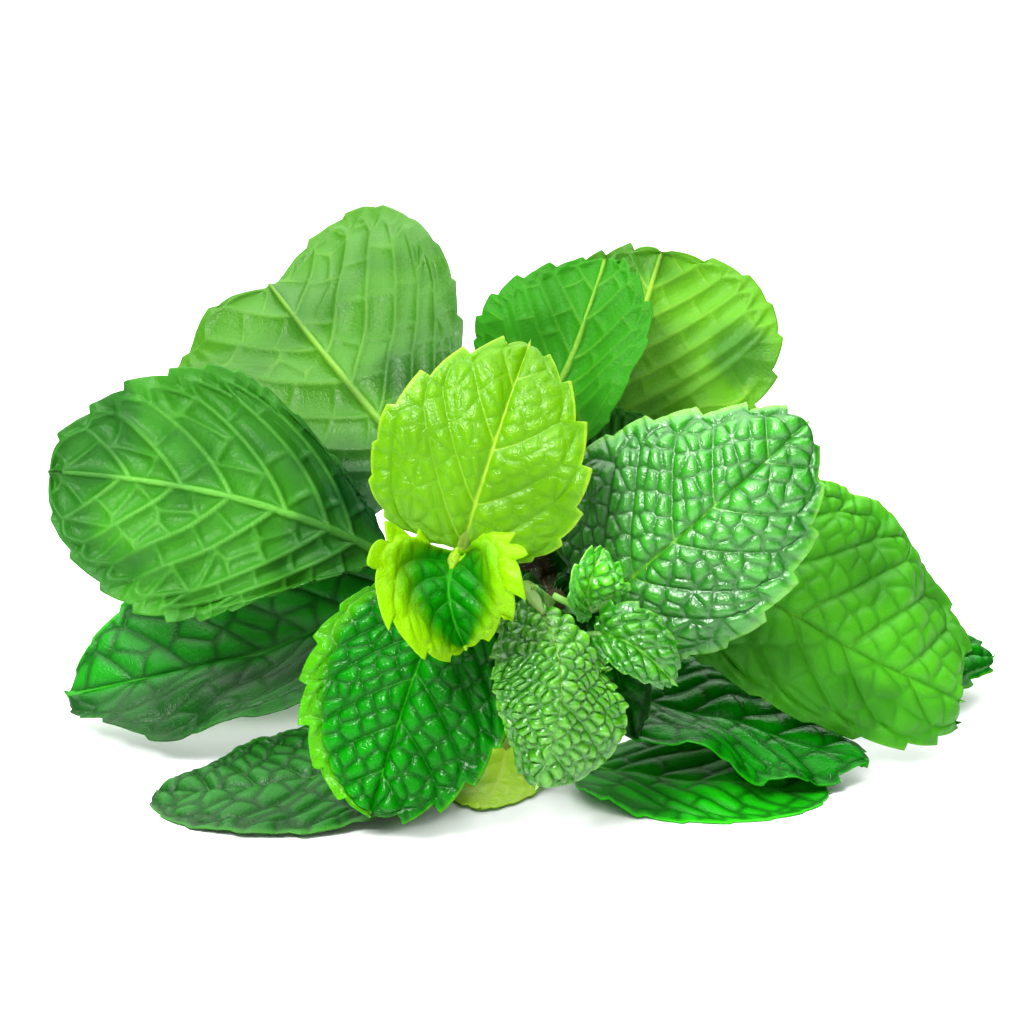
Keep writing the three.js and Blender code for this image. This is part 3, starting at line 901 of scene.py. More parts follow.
@dataclass
class LeafMaker:
    """Builds one leaf's mesh from its table entry, with the sizes of its petiole."""

    leaf: Leaf
    stalk_radius: float = 0.8
    stalk_taper: float = 0.5
    stalk_sunk: float = 1.5
    stalk_floor: float = 0.7
    stalk_groove: float = 0.3
    full_width: float = 9.0
    draws: np.random.Generator = field(init=False)

    def __post_init__(self) -> None:
        """Starts the leaf's own source of irregularity."""
        self.draws = np.random.default_rng(self.leaf.seed * 7919 + 17)

    def _waves(self, s: Array, t: Array) -> Array:
        """A gentle uneven swell: sine waves of random direction and length, added up.

        Args:
            s: lengths along the midrib.
            t: lengths across it, negative on the left.

        Returns:
            Heights of about one at most.
        """
        total = np.zeros_like(s)
        for _ in range(WAVES):
            angle, phase = self.draws.uniform(0, 2 * np.pi, 2)
            number = 2 * np.pi / self.draws.uniform(*WAVE_LENGTHS)
            total += np.sin(number * (s * np.cos(angle) + t * np.sin(angle)) + phase)
        return total / WAVE_SUM

    def _half(self, half: Half) -> Sheet:
        """One half of the middle surface.

        The swell is the sum of the rises between side veins, beside the midrib and inside the
        cells' walls, each a dome over the distance to its veins, less at the margin.

        Args:
            half: the half.

        Returns:
            Its sheet, from the midrib to the margin.
        """
        leaf, relief = self.leaf, self.leaf.relief
        rows = leaf.teeth * leaf.rows_per_tooth
        theta = np.pi * np.arange(1, rows) / rows
        angles, shares = np.meshgrid(theta, np.linspace(0, 1, leaf.columns + 1), indexing="ij")
        s, t = leaf.flat(angles, shares, half)
        veins = VeinNet(leaf, half, self.draws).measure(shares, s, t)
        x = np.clip(s / leaf.length, 0, 1)
        swell = relief.band * dome(veins.side, SIDE_REACH) * dome(veins.midrib, MIDRIB_HOLLOW)
        swell += relief.midrib * dome(veins.midrib, MIDRIB_REACH)
        swell += (relief.cell * dome(veins.cell, relief.cell_dome)
                  * dome(veins.side, CELL_REACH) * dome(veins.midrib, CELL_REACH))
        ruffles = (ruffle.lift(x, shares) for ruffle in leaf.ruffles if ruffle.half is half)
        midrib = bell(veins.midrib, MIDRIB_WIDTH - MIDRIB_TAPER * x)
        side = bell(veins.side, veins.side_width) * relief.vein_share
        wall = bell(veins.cell, WALL_WIDTH) * smooth(1 - shares, 0, WALL_END)
        rim = smooth(shares, leaf.tone.rim_start, 1)
        # A rolled margin gets a painted highlight over its outer part
        if leaf.roll[half.value]:
            rim = np.maximum(rim, smooth(shares, *ROLLED_RIM_HIGHLIGHT))
        # The painted shade runs from its share at the base to that at the tip, growing from the midrib
        # outwards, and a negative share paints light
        near, far = leaf.deep[half.value]
        return Sheet(
            points=leaf.bend(s, t, shares, half),
            swell=(swell * (1 - MARGIN_FADE * smooth(shares, MARGIN_FADE_START, 1))
                   + sum(ruffles, np.zeros_like(x))),
            ridge=((MIDRIB_DEPTH - MIDRIB_DEPTH_LOSS * x) * midrib
                   + SIDE_DEPTH * veins.side_width * side + WALL_DEPTH * wall),
            vein=np.maximum(np.maximum(midrib, SIDE_MARK * veins.side_width * side), WALL_MARK * wall),
            crown=(dome(veins.cell, CROWN_REACH) * dome(veins.side, CROWN_SIDE_REACH)
                   * dome(veins.midrib, CELL_REACH)),
            rim=rim,
            deep=(near + (far - near) * x) * smooth(shares, 0, PAINTED_SHADE_REACH),
            along=s, across=t * half.sign, share=shares)

    def _surface(self) -> Sheet:
        """The whole middle surface, lifted by its swell less the swell's mean and by the waves.

        A height z over the floor becomes ease * log(1 + exp(z / ease)), so no blade sinks in.

        Returns:
            The sheet with its points lifted.
        """
        flat = self._half(Half.LEFT).beside(self._half(Half.RIGHT))
        waves = self.leaf.relief.wave * self._waves(flat.along, flat.across)
        lift = flat.swell - flat.swell.mean() + waves * (WAVE_AT_MIDRIB + (1 - WAVE_AT_MIDRIB) * flat.share)
        points = flat.points + flat.normals() * lift[..., None]
        over = (points[..., 2] - FLOOR_LIFT) / FLOOR_EASE
        points[..., 2] = FLOOR_LIFT + FLOOR_EASE * np.logaddexp(0, over)
        return replace(flat, points=points)

    def _face(self, mould: Mould, sheet: Sheet, surface: Array, above: bool) -> Edges:
        """Adds the upper or the lower face, closed by fans at the base and the tip.

        Args:
            mould: what the face is added to.
            sheet: the middle surface, for its marks and its directions at the ends.
            surface: the face's points. The face that is looked at keeps all its columns.
            above: whether this is the upper face.

        Returns:
            The numbers of the points at its edges.
        """
        leaf = self.leaf
        fine = (leaf.shown is Shown.UPPER) == above
        pick = slice(None) if fine else slice(None, None, 2)
        body = surface[:, pick]
        rows, width = body.shape[:2]
        base, _ = leaf.rib_at(np.array([0.0]))
        tip, _ = leaf.rib_at(np.array([1 + leaf.tooth / (2 * leaf.length)]))
        mids = sheet.normals()[[0, -1], surface.shape[1] // 2]
        sense = 1 if above else -1
        ends = np.concatenate([base, tip]) + sense * mids * BLADE_THICKNESS / 4
        ends[:, 2] = np.maximum(ends[:, 2], FLOOR_END)
        k = np.arange(width - 1)
        last = (rows - 1) * width
        foot, head = rows * width, rows * width + 1
        near = np.stack([np.full(width - 1, foot), k + 1, k], -1)
        far = np.stack([np.full(width - 1, head), last + k, last + k + 1], -1)
        faces = [grid_faces(rows, width), near, far]
        if not above:
            faces = [block[:, ::-1] for block in faces]
        at_ends = {"vein": [1.0, 0.5], "crown": [0.0, 0.0], "rim": [0.0, 0.0], "deep": [0.0, 0.0]}
        marks = {name: np.concatenate([getattr(sheet, name)[:, pick].ravel(), values])
                 for name, values in at_ends.items()}
        start = mould.count
        mould.add(np.concatenate([body.reshape(-1, 3), ends]), faces,
                  under=0.0 if above else 1.0, stalk=0.0, **marks)
        left = start + np.arange(rows) * width
        return Edges(left, left + width - 1, start + foot, start + head)

    def blade(self, mould: Mould) -> None:
        """Adds the blade: both faces, and the walls between them round the margin.

        Args:
            mould: what the blade is added to.
        """
        sheet = self._surface()
        normal = sheet.normals()
        shares = np.abs(np.linspace(-1, 1, normal.shape[1]))
        thick = BLADE_THICKNESS * (1 - MARGIN_THINNING * shares**8)[None, :, None] / 2
        upper = sheet.points + normal * thick
        lower = sheet.points - normal * (thick + sheet.ridge[..., None])
        lower[..., 2] = np.maximum(lower[..., 2], FLOOR_SKIN)
        top = self._face(mould, sheet, upper, True)
        low = self._face(mould, sheet, lower, False)
        mould.faces.extend([
            np.stack([top.left[:-1], top.left[1:], low.left[1:], low.left[:-1]], -1),
            np.stack([top.right[1:], top.right[:-1], low.right[:-1], low.right[1:]], -1),
            np.array([[top.base, top.left[0], low.left[0], low.base],
                      [top.right[0], top.base, low.base, low.right[0]]]),
            np.array([[top.left[-1], top.tip, low.tip, low.left[-1]],
                      [top.tip, top.right[-1], low.right[-1], low.tip]]),
        ])

    def petiole(self, mould: Mould) -> None:
        """Adds the petiole: a curve from its foot to under the blade's base.

        Between the foot and the base it is the quadratic curve drawn to a point on the midrib's
        own line before the base. It starts stalk_sunk beyond the foot, which takes it into the
        stem where the foot is near enough. It has a groove above, and thins out under the blade.

        Args:
            mould: what the petiole is added to.
        """
        leaf = self.leaf
        foot = np.array(leaf.foot)
        base, _ = leaf.rib_at(np.array([0.0]))
        reach = float(np.linalg.norm(foot - base[0]))
        before, _ = leaf.rib_at(np.array([-0.4 * reach / leaf.length]))
        w = np.linspace(0, 1, max(8, int(reach / 0.5)))[:, None]
        curve = (1 - w) ** 2 * foot + 2 * w * (1 - w) * before + w**2 * base
        inward = unit(foot - before[0]) * self.stalk_sunk
        up = unit(np.array(leaf.face[0]))
        under, _ = leaf.rib_at(np.linspace(0.01, 0.14, 8))
        under = under - up * np.linspace(0.1, 0.35, 8)[:, None]
        path = np.concatenate([[foot + inward], curve, under])
        path[:, 2] = np.maximum(path[:, 2], self.stalk_floor)
        share = np.linspace(0, 1, len(path))
        slim = min(1.0, max(leaf.half) / self.full_width)
        radii = slim * (self.stalk_radius - self.stalk_taper * smooth(share, 0.75, 1))
        angle = np.linspace(0, 2 * np.pi, 20, endpoint=False)
        section = np.stack([angle, 1 - self.stalk_groove * bell(angle - np.pi / 2, 0.5)], -1)
        points, faces = tube(path, radii, section, up)
        mould.add(points, faces, under=1.0, stalk=1.0, vein=0.6, crown=0.5, rim=0.0, deep=0.0)

    def make(self, material: bpy.types.Material) -> bpy.types.Object:
        """Builds the leaf's object.

        Args:
            material: the leaf's material.

        Returns:
            The object.
        """
        mould = Mould()
        self.blade(mould)
        self.petiole(mould)
        piece = mould.cast(self.leaf.node.replace("leaf_", "") + "_leaf", material)
        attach(piece, "root")
        return piece


@dataclass
class Stem:
    """The square stem with its shoots, swollen where a pair of leaves grows.

    Each axis has a radius and the points that it passes. Swelling, taper and groove are shares
    of the radius, and node_length is the swelling's width along the stem. hairs_per_mm counts
    the hairs to a millimetre of stem, and the other hair values are their mean length, their
    radius and the share of the stem's radius at which they are rooted.
    """

    axes: tuple[tuple[float, tuple[Point, ...]], ...]
    swelling: float = 0.22
    node_length: float = 2.2
    taper: float = 0.12
    groove: float = 0.1
    step: float = 0.35
    hairs_per_mm: float = 7
    hair_length: float = 0.7
    hair_radius: float = 0.022
    hair_root: float = 0.86

    def path(self, knots: Sequence[Point]) -> Array:
        """A smooth curve through the points: between each two, the usual cubic whose slopes are
        half the way from the point before to the point after.

        Args:
            knots: the points.

        Returns:
            Evenly spaced points along it.
        """
        p = np.asarray(knots, float)
        p = np.concatenate([[2 * p[0] - p[1]], p, [2 * p[-1] - p[-2]]])
        w = np.linspace(0, 1, 60, endpoint=False)[:, None]
        spans = []
        for a, b, c, d in zip(p, p[1:], p[2:], p[3:]):
            spans.append(0.5 * (2 * b + (c - a) * w + (2 * a - 5 * b + 4 * c - d) * w**2
                                + (3 * b - a - 3 * c + d) * w**3))
        curve = np.concatenate([*spans, p[-2:-1]])
        run = np.concatenate([[0], np.cumsum(np.linalg.norm(np.diff(curve, axis=0), axis=1))])
        even = np.linspace(0, run[-1], max(8, int(run[-1] / self.step)))
        return np.stack([np.interp(even, run, curve[:, k]) for k in range(3)], -1)

    def radii(self, radius: float, path: Array, knots: Sequence[Point]) -> Array:
        """Radii along an axis: a slow taper, and a bell-shaped swelling at all points but the first.

        Args:
            radius: the axis's radius at its start.
            path: its evenly spaced points.
            knots: the points that it passes.

        Returns:
            A radius for each point of the path.
        """
        inner = np.asarray(knots[1:], float)
        near = np.linalg.norm(path[:, None] - inner[None], axis=-1).min(1)
        share = np.linspace(0, 1, len(path))
        swollen = 1 + self.swelling * bell(near, self.node_length)
        return radius * (1 - self.taper * share) * swollen

    def make(self, material: bpy.types.Material) -> bpy.types.Object:
        """Builds the stem and its shoots as closed tubes with four ribs and four grooves.

        Args:
            material: the stem's material.

        Returns:
            The object, which replaces the stem's solid.
        """
        mould = Mould()
        angle = np.linspace(0, 2 * np.pi, 48, endpoint=False)
        share = 1 - self.groove * (0.5 + 0.5 * np.cos(4 * angle)) ** 1.5
        section = np.stack([angle, share], -1)
        for radius, knots in self.axes:
            path = self.path(knots)
            points, faces = tube(path, self.radii(radius, path, knots), section, UPRIGHT)
            points[:, 2] = np.maximum(points[:, 2], FLOOR_SKIN)
            rib = np.concatenate([np.tile(0.5 - 0.5 * np.cos(4 * angle), len(path)), [0.5, 0.5]])
            cut = np.zeros(len(points))
            cut[-2] = 1.0
            mould.add(points, faces, rib=rib, cut=cut)
        piece = mould.cast("stem_skin", material)
        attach(piece, "root")
        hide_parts("stem")
        return piece

    def hairs(self, material: bpy.types.Material) -> bpy.types.Object:
        """Builds the fine hairs: thin three-sided spikes that stand off the stem at random.

        Args:
            material: the hairs' material.

        Returns:
            The object.
        """
        draws = np.random.default_rng(41)
        mould = Mould()
        for radius, knots in self.axes:
            path = self.path(knots)
            size = self.radii(radius, path, knots)
            forward = unit(np.gradient(path, axis=0))
            count = int(len(path) * self.step * self.hairs_per_mm)
            pick = draws.integers(2, len(path) - 2, count)
            turn = draws.uniform(0, 2 * np.pi, count)
            second = unit(UPRIGHT - (forward[pick] @ UPRIGHT)[:, None] * forward[pick])
            first = np.cross(forward[pick], second)
            out = np.cos(turn)[:, None] * first + np.sin(turn)[:, None] * second
            root = path[pick] + out * (size[pick] * self.hair_root)[:, None]
            lean = unit(out + draws.normal(0, 0.35, (count, 3)))
            tip = root + lean * (self.hair_length * draws.uniform(0.6, 1.3, count))[:, None]
            side = unit(np.cross(lean, forward[pick]))
            other = np.cross(lean, side)
            corners = [root + self.hair_radius * (np.cos(a) * side + np.sin(a) * other)
                       for a in 2 * np.pi / 3 * np.arange(3)]
            points = np.stack([*corners, tip], 1)
            points[..., 2] = np.maximum(points[..., 2], FLOOR_SKIN)
            b = np.arange(count) * 4
            faces = [np.stack([b + i, b + (i + 1) % 3, b + 3], -1) for i in range(3)]
            faces.append(np.stack([b + 2, b + 1, b], -1))
            mould.add(points, faces)
        piece = mould.cast("stem_hairs", material)
        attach(piece, "root")
        return piece


BRIGHT = Tone(
    hollow=(0.125, 0.34, 0.0005), crown=(0.19, 0.44, 0.001), vein=(0.5, 0.72, 0.07),
    under=(0.15, 0.4, 0.002), under_vein=(0.4, 0.6, 0.09), glow=(0.34, 0.7, 0.001), glow_share=0.36,
    blotch=0.2, gloss=0.35)
# The cupped leaf: its dark hollow and crown colours paint the shade inside the cup
CUPPED = Tone(
    hollow=(0.001, 0.09, 0.0005), crown=(0.004, 0.2, 0.0005), vein=(0.02, 0.25, 0.001),
    edge=(0.3, 0.56, 0.001), under=(0.2, 0.45, 0.003), under_vein=(0.3, 0.5, 0.03),
    glow=(0.06, 0.6, 0.001), glow_share=0.16, blotch=0.1, rim_start=0.3, gloss=0.15)
FRONT = Tone(
    hollow=(0.001, 0.08, 0.001), crown=(0.003, 0.28, 0.001), vein=(0.03, 0.36, 0.003),
    edge=(0.12, 0.45, 0.005), under=(0.02, 0.24, 0.004), under_vein=(0.12, 0.4, 0.04),
    glow=(0.02, 0.5, 0.001), glow_share=0.22, gloss=0.22, upper_roughness=0.24)
# Its pale vein colour lifts the shade in the sunken veins, as painted light
MATT = Tone(
    hollow=(0.05, 0.3, 0.006), crown=(0.09, 0.42, 0.012), vein=(0.22, 0.56, 0.04),
    under=(0.04, 0.27, 0.015), under_vein=(0.16, 0.42, 0.06), glow=(0.1, 0.6, 0.003), glow_share=0.22,
    blotch=0.75, upper_roughness=0.5, gloss=0.3)
LIVELY = Tone(
    hollow=(0.006, 0.16, 0.001), crown=(0.12, 0.5, 0.012), vein=(0.2, 0.56, 0.05),
    under=(0.08, 0.36, 0.03), under_vein=(0.25, 0.55, 0.12), glow=(0.14, 0.65, 0.003), glow_share=0.24,
    upper_roughness=0.25, gloss=1.0)
GLOSSY = Tone(
    hollow=(0.004, 0.12, 0.003), crown=(0.06, 0.4, 0.02), vein=(0.2, 0.55, 0.03),
    under=(0.04, 0.3, 0.02), under_vein=(0.2, 0.5, 0.1), glow=(0.07, 0.5, 0.002), glow_share=0.18,
    upper_roughness=0.34, gloss=1.0, rim_start=0.93)
UNDER = Tone(
    hollow=(0.003, 0.1, 0.012), crown=(0.04, 0.3, 0.015), vein=(0.16, 0.42, 0.05),
    under=(0.05, 0.25, 0.01), under_vein=(0.14, 0.4, 0.05), glow=(0.16, 0.55, 0.008), glow_share=0.24,
    blotch=0.6, gloss=0.35, under_roughness=0.5)
SHEEN = replace(UNDER, blotch=0.35, gloss=0.4, under_roughness=0.45)
# Painted light: very pale colours for the glow of the low leaf that lies in the front leaves' shade
PAINTED_LIGHT = Tone(
    hollow=(0.5, 0.85, 0.005), crown=(0.6, 0.9, 0.01), vein=(0.7, 0.9, 0.1),
    under=(0.2, 0.5, 0.01), under_vein=(0.5, 0.7, 0.1), glow=(0.6, 0.95, 0.005), glow_share=0.2,
    blotch=0.1, gloss=0.4)
DARK = Tone(
    hollow=(0.002, 0.05, 0.002), crown=(0.012, 0.2, 0.008), vein=(0.04, 0.25, 0.015),
    under=(0.04, 0.22, 0.015), under_vein=(0.13, 0.36, 0.08), glow=(0.02, 0.45, 0.004), glow_share=0.16,
    upper_roughness=0.42, gloss=0.3, rim_start=0.93, edge=(0.06, 0.35, 0.02))

CRINKLED = Relief(band=0.4, cell=0.62, midrib=0.4, wave=0.5, cell_size=1.45, cell_dome=0.62)
QUILTED = Relief(band=0.5, cell=0.42, midrib=0.45, wave=0.5, cell_size=2.0, cell_dome=0.7)
PADDED = Relief(band=0.55, cell=0.34, midrib=0.5, wave=0.6, cell_size=3.0, cell_dome=1.0, side_veins=6)
SOFT = Relief(band=0.35, cell=0.17, midrib=0.2, wave=0.5, cell_size=1.9, cell_dome=0.9, side_veins=4,
              vein_angle=(38, 62), vein_arch=0.25)
HOLLOWED = Relief(band=0.6, cell=0.4, midrib=0.3, wave=0.7, cell_size=3.4, cell_dome=0.9, side_veins=7,
                  vein_arch=0.24)
SMOOTHED = Relief(band=0.35, cell=0.2, midrib=0.25, wave=1.0, cell_size=3.8, cell_dome=1.0, side_veins=6,
                  vein_arch=0.24, vein_angle=(48, 48), vein_share=0.6)

# The last three leaves are small, have no solid of their own and fill the axils; their tints darken them as
# painted shade in the gaps behind the front leaves
LEAVES = (
    Leaf("leaf_front_bright", BRIGHT, 9, 1.35,
         ((-7.3, -14, 33.9), (-3.7, -14, 46.2), (0.8, -7, 57.7)), (-7.4, -13.4, 33),
         ((0, -0.92, 0.4), (0, -0.8, 0.61)), (13.7, 11.5), fold=(5, 5), curl=(-20, -10),
         lobe=(0.1, 0.1), relief=SOFT, rows_per_tooth=24, columns=80, seed=1,
         tint=(0.88, 0.88, 0.8)),
    Leaf("leaf_front_cupped", CUPPED, 7, 1.7,
         ((-8.1, -21.6, 35.2), (-8.7, -28.6, 32.6), (-6.9, -29.5, 26.9)), (-7.6, -15, 31.6),
         ((-0.1, -0.57, 0.81), (0, -0.87, 0.49)), (10.4, 10.2), fold=(15, 15), curl=(75, 75),
         flare=(-80, -60), flare_start=0.6, lobe=(-0.15, -0.15), relief=SOFT, rows_per_tooth=26,
         columns=56, seed=2),
    Leaf("leaf_front_left", FRONT, 9, 1.4,
         ((-9.4, -18, 29.7), (-14.1, -24.1, 18), (-18.4, -27, 4.7)), (-8.6, -14.2, 28.9),
         ((0, -0.87, 0.49), (0, -0.92, 0.4)), (12.3, 13.3), fold=(5, -8), curl=(0, -15),
         roll=(0, 0.5), egg=(0.1, 0.1), point=(0.1, 0.1), deep=((0.5, 0.2), (0.3, 0)),
         relief=QUILTED, rows_per_tooth=24, seed=3),
    Leaf("leaf_front_folded", LIVELY, 9, 0.9,
         ((0.8, -19.5, 30.2), (4.7, -31, 23.1), (1.7, -31, 9.4)), (2.6, -14.2, 27.5),
         ((0.1, -0.87, 0.49), (0.1, -0.87, 0.49)), (10, 8.4), fold=(-38, -20), curl=(0, -5),
         egg=(-0.3, 0.1), point=(0, 0), lobe=(-0.3, 0.1), notch=(0.05, 0.1), tint=(1.3, 1.0, 1.0),
         deep=((-0.1, 0), (0.45, 0.25)), relief=CRINKLED, rows_per_tooth=24, columns=64, seed=4),
    Leaf("leaf_right_glossy", GLOSSY, 10, 1.3,
         ((9.4, -8, 24.6), (21.1, -12, 36.6), (34.8, -7, 47.8)), (6.2, -10.1, 24.9),
         ((0, -0.87, 0.49), (0, -0.82, 0.57)), (16.2, 13.9), fold=(-5, -5), curl=(-15, -20),
         egg=(0.3, 0.15), lobe=(0.25, 0.12), deep=((0.5, -0.1), (0.5, 0)), relief=QUILTED,
         rows_per_tooth=24, columns=80, seed=5),
    Leaf("leaf_right_large", MATT, 12, 1.1,
         ((14.9, 4, 32.3), (35.5, -2, 20.4), (56.6, 5, 7)), (3.2, 7, 36.3),
         ((0.09, -0.79, 0.6), (0.27, -0.74, 0.62)), (23, 11.3), fold=(-8, -10), curl=(-15, -20),
         egg=(-0.25, 0), point=(0, 0), notch=(0.18, 0.05), deep=((0.0, 0.0), (1.0, 0.55)),
         relief=PADDED, columns=84, seed=6),
    Leaf("leaf_left_large", UNDER, 11, 0.9,
         ((-16.8, 0, 27.9), (-34.9, -4, 36.9), (-58.8, 2, 38.6)), (-2.9, 1.7, 27.2),
         ((0, 0.92, -0.4), (0.1, 0.91, -0.4)), (15.2, 16), fold=(-5, -5), egg=(0.08, -0.15),
         point=(0, 0), lobe=(-0.5, -0.35), shown=Shown.LOWER, deep=((0.75, -0.1), (0.35, -0.1)),
         tint=(0.85, 0.9, 0.9), relief=HOLLOWED, rows_per_tooth=22, columns=96, seed=7),
    Leaf("leaf_back_left", SHEEN, 12, 0.65,
         ((-12.2, 7, 37), (-22.6, 17, 46.3), (-33, 35, 53.9)), (-1.6, 8, 34),
         ((0.19, 0.81, -0.56), (0.18, 0.76, -0.63)), (19, 23.5), egg=(-0.42, -0.2), point=(0, 0),
         lobe=(0, 0.1), notch=(0.33, 0.12), shown=Shown.LOWER, deep=((1.0, -0.3), (1.0, -0.3)),
         tint=(1.15, 0.83, 0.65), relief=SMOOTHED, columns=96, seed=8),
    Leaf("leaf_back_middle", FRONT, 10, 0.95,
         ((1, 8.5, 40.8), (6.7, 9.5, 52.3), (10.6, 15.5, 62.7)), (0.4, 9.8, 38.6),
         ((0.2, 0.9, -0.39), (0.2, 0.9, -0.39)), (10.3, 13), fold=(-20, 0), curl=(-20, 0),
         egg=(0.1, 0.1), point=(0.4, 0.4), shown=Shown.LOWER, tint=(1.5, 0.9, 1.0), relief=SMOOTHED,
         columns=60, seed=9),
    Leaf("leaf_back_right", UNDER, 11, 1.1,
         ((9.8, 17, 38.2), (14, 20, 49.4), (17.9, 27, 60.1)), (1.4, 11.6, 35.4),
         ((-0.1, 0.87, -0.49), (-0.1, 0.87, -0.49)), (18, 12.5), egg=(-0.15, 0), point=(0, 0),
         notch=(0.22, 0), shown=Shown.LOWER, tint=(2.3, 1.3, 1.2), relief=SMOOTHED, seed=10),
    Leaf("leaf_left_low", DARK, 12, 0.7,
         ((-14.3, 7, 21.3), (-35.6, 8, 12.1), (-59.5, 14, 5)), (1.7, 12.8, 19),
         ((0, -0.32, 0.95), (0, -0.32, 0.95)), (13, 16), fold=(0, 35), egg=(0.1, 0.1),
         deep=((0.9, 0.7), (0, 0)), tint=(0.8, 1.35, 0.8), relief=SMOOTHED, seed=11),
    Leaf("leaf_floor_left", DARK, 11, 0.7,
         ((-8.5, -3, 6.4), (-27.6, -13, 3.7), (-45.7, -10, 0.9)), (1.8, 7.2, 7.7),
         ((0, -0.19, 0.98), (0, -0.19, 0.98)), (11.5, 11), egg=(0, 0), point=(0.1, 0.1),
         tint=(0.9, 0.75, 1.0), relief=PADDED, columns=60, seed=12),
    Leaf("leaf_right_arched", FRONT, 10, 1,
         ((11.1, -2, 10.3), (27.5, -4, 7.5), (43.2, -5, 1.9)), (6.9, 14, 15.3),
         ((0, -0.32, 0.95), (0, -0.22, 0.98)), (12, 11), fold=(0, 12), curl=(0, -20),
         tint=(0.2, 0.95, 0.2),
         ruffles=(Ruffle(Half.RIGHT, 0.34, 5.0, 0.14), Ruffle(Half.RIGHT, 0.66, -1.0, 0.12)),
         relief=SMOOTHED, columns=60, seed=13),
    # Its tint raises the green as painted light, where the arched leaf shades it
    Leaf("leaf_floor_right", DARK, 10, 0.7,
         ((7.3, -6, 2.4), (22.6, -9, 1.7), (38.3, -10, 0.5)), (6.6, 6.2, 7.4),
         ((0, -0.15, 0.99), (0, -0.15, 0.99)), (11.5, 10.5), egg=(0, 0), point=(0.1, 0.1),
         tint=(0.9, 2.2, 0.4), relief=SMOOTHED, columns=60, seed=14),
    Leaf("leaf_right_hidden", FRONT, 10, 1,
         ((20.2, 30, 6.2), (41.1, 25, 6.6), (63, 27, 5.3)), (11.2, 35.6, 8),
         ((0, -0.32, 0.95), (0, -0.32, 0.95)), (12, 12), egg=(0.2, 0.2), relief=QUILTED,
         rows_per_tooth=16, columns=48, seed=15),
    Leaf("leaf_young_upper", LIVELY, 6, 0.8,
         ((8.3, -14.4, 26.1), (8.1, -16.8, 30), (9.8, -15.6, 34.1)), (5.1, -13.6, 27),
         ((0.29, -0.88, 0.39), (0.29, -0.88, 0.39)), (2.7, 4.9), fold=(20, 0), egg=(0.1, 0.1),
         lobe=(0.12, 0.12), tint=(1.6, 1.4, 1.2), relief=CRINKLED, rows_per_tooth=14, columns=30,
         seed=16),
    Leaf("leaf_young_lower", LIVELY, 7, 0.8,
         ((8.9, -18.4, 24.4), (13.5, -21.3, 23.9), (18.6, -20.6, 18.8)), (6.5, -13, 21.9),
         ((0, -0.82, 0.57), (0, -0.82, 0.57)), (4.4, 3.6), fold=(10, 10), egg=(0.1, 0.1),
         tint=(0.9, 0.95, 0.8), relief=CRINKLED, rows_per_tooth=14, columns=32, seed=17),
    Leaf("leaf_back_small", DARK, 9, 0.8,
         ((6.8, 10, 32.4), (11.9, 11, 37.1), (17, 13, 41.8)), (3, 9.6, 38),
         ((0, 0.92, -0.4), (0, 0.92, -0.4)), (8, 8), shown=Shown.LOWER, relief=HOLLOWED,
         rows_per_tooth=14, columns=40, seed=18),
    Leaf("leaf_floor_front", PAINTED_LIGHT, 8, 0.8,
         ((-1.8, -1, 3.6), (-3.1, -7.5, 0.9), (-5.2, -15.3, 0.5)), (3.8, 4.4, 6.8),
         ((0, 0, 1), (0, 0, 1)), (5.5, 8.5), relief=SOFT, rows_per_tooth=14, columns=40, seed=19),
    Leaf("leaf_left_hidden", FRONT, 10, 1,
         ((-11, 33, 9.1), (-33.6, 30, 11.6), (-54.8, 25, 16)), (6.2, 41, 6.6),
         ((0, -0.32, 0.95), (0, -0.32, 0.95)), (11, 11), egg=(0.1, 0.1), relief=QUILTED,
         rows_per_tooth=16, columns=48, seed=20),
    Leaf("leaf_axil_back", FRONT, 7, 0.7,
         ((3.6, 8.6, 20), (4.8, 7.5, 27), (6, 8.5, 34)), (3.4, 10.5, 18.5),
         ((0, -0.95, 0.3), (0, -0.95, 0.3)), (6, 6), tint=(0.5, 0.6, 0.5), relief=QUILTED,
         rows_per_tooth=14, columns=32, seed=21),
    Leaf("leaf_axil_right", FRONT, 7, 0.7,
         ((4.2, -4, 24), (9.5, -8, 21), (14, -12, 8.5)), (3.2, 1, 23),
         ((0, -0.85, 0.5), (0, -0.85, 0.5)), (6.2, 6.2), tint=(0.4, 0.5, 0.4), relief=QUILTED,
         rows_per_tooth=14, columns=32, seed=23),
    Leaf("leaf_axil_front", FRONT, 6, 0.6,
         ((0.3, -7, 27), (-1.8, -12, 18), (-3.4, -16, 9.5)), (2.8, -3, 23.3),
         ((0, -0.85, 0.5), (0, -0.85, 0.5)), (5, 5), tint=(0.5, 0.6, 0.5), relief=QUILTED,
         rows_per_tooth=14, columns=32, seed=22),
)

STEM = Stem(axes=(
    (1.75, ((10, 58, 1.45), (9, 42, 6), (7, 24, 13), (4, 11, 20), (1.5, 5.5, 27))),
    (1.35, ((2, 6.5, 26), (-3, -5, 28.5), (-7.5, -12, 31))),
    (1.35, ((3.2, 9, 22), (4, -4, 24), (4, -12, 26.5))),
    (1.35, ((1.5, 5.5, 26), (0.3, 8.5, 33), (0.6, 9.5, 37))),
    (1.35, ((7, 23.5, 13), (5.5, 14, 9.5), (4.2, 7, 7.5))),
))


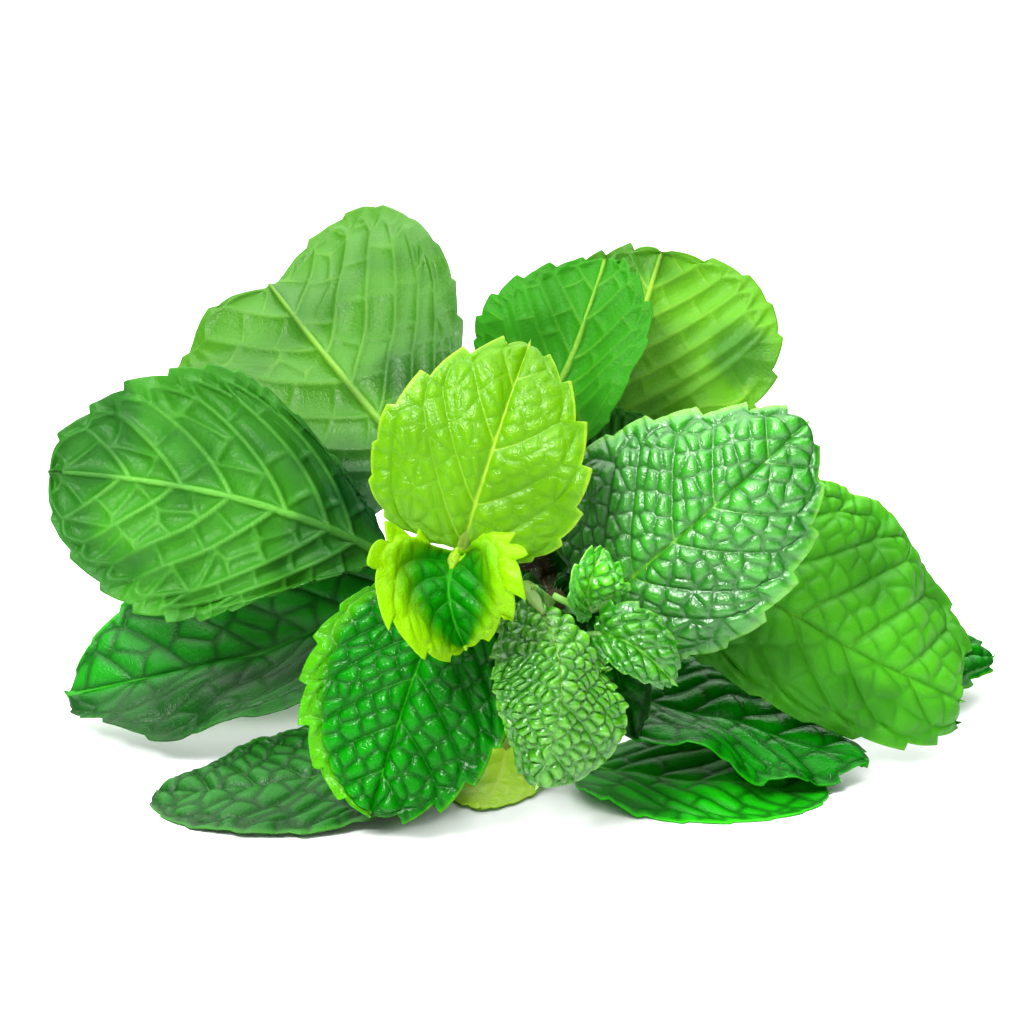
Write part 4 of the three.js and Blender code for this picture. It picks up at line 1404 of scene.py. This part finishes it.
@dataclass
class Studio:
    """The pale floor, the soft lights and the camera."""

    target: Point = (-2.95, -11.17, 34.0)
    distance: float = 500.0
    elevation: float = 18.0
    lens: float = 140.625
    sensor: float = 36.0
    floor_reach: float = 3.0
    floor_colour: Colour = (0.93, 0.935, 0.94)
    surround: float = 0.13
    gamma: float = 0.85

    def floor(self) -> None:
        """A wide white floor with a soft sheen."""
        mesh = bpy.data.meshes.new("floor")
        r = self.floor_reach
        mesh.from_pydata([(-r, -r, 0), (r, -r, 0), (r, r, 0), (-r, r, 0)], [], [(0, 1, 2, 3)])
        piece = bpy.data.objects.new("floor", mesh)
        bpy.context.scene.collection.objects.link(piece)
        paint = Paint("floor")
        skin = paint.node("ShaderNodeBsdfPrincipled", {}, {
            "Base Color": (*self.floor_colour, 1), "Roughness": 0.28, "Specular IOR Level": 0.35})
        mesh.materials.append(paint.surface(skin.outputs[0]))

    def light(self, name: str, place: Point, size: float, watts: float) -> None:
        """A square soft light that looks at the sprig's middle.

        Args:
            name: its name.
            place: its place, in metres.
            size: its side, in metres.
            watts: its power.
        """
        data = bpy.data.lights.new(name, "AREA")
        data.shape = "SQUARE"
        data.size = size
        data.energy = watts
        lamp = bpy.data.objects.new(name, data)
        lamp.location = place
        aim = Vector((0, 0, 0.03)) - Vector(place)
        lamp.rotation_euler = aim.to_track_quat("-Z", "Y").to_euler()
        bpy.context.scene.collection.objects.link(lamp)

    def world(self) -> None:
        """An even white surround."""
        world = bpy.data.worlds.new("surround")
        world.use_nodes = True
        back = world.node_tree.nodes["Background"]
        back.inputs["Color"].default_value = (1, 1, 1, 1)
        back.inputs["Strength"].default_value = self.surround
        bpy.context.scene.world = world

    def camera(self) -> None:
        """The camera, which looks along +Y and down by its elevation."""
        data = bpy.data.cameras.new("camera")
        data.lens = self.lens
        data.sensor_width = self.sensor
        data.clip_start = 0.02
        data.clip_end = 20
        camera = bpy.data.objects.new("camera", data)
        tilt = math.radians(self.elevation)
        x, y, z = self.target
        camera.location = (x * MM, (y - self.distance * math.cos(tilt)) * MM,
                           (z + self.distance * math.sin(tilt)) * MM)
        camera.rotation_euler = (math.pi / 2 - tilt, 0, 0)
        bpy.context.scene.collection.objects.link(camera)
        bpy.context.scene.camera = camera

    def build(self) -> None:
        """Sets up the whole studio."""
        self.camera()
        self.floor()
        self.world()
        self.light("top", (-0.1, 0.4, 1.0), 2.0, 52)
        self.light("front", (-0.3, -0.5, 0.62), 0.3, 11)
        self.light("fill", (0.1, -1.1, 0.75), 1.2, 8)
        view = bpy.context.scene.view_settings
        view.view_transform = "Standard"
        view.gamma = self.gamma
        view.exposure = 0.0


def main() -> None:
    """Builds the sprig and its studio, and reports each piece."""
    logging.basicConfig(level=logging.INFO, format="%(name)s %(message)s")
    Studio().build()
    slots = {part["node"]: part["material_slot"] for part in frame["record"]["subparts"]}
    for leaf in LEAVES:
        skin = leaf.tone.tinted(leaf.tint).material(leaf.node + "_skin")
        piece = LeafMaker(leaf).make(skin)
        if leaf.node in slots:
            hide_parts(leaf.node)
        slots.get(leaf.node, "leaf_old")
    STEM.make(StemSkin().material())
    STEM.hairs(HairSkin().material())


if __name__ == "__main__":
    main()
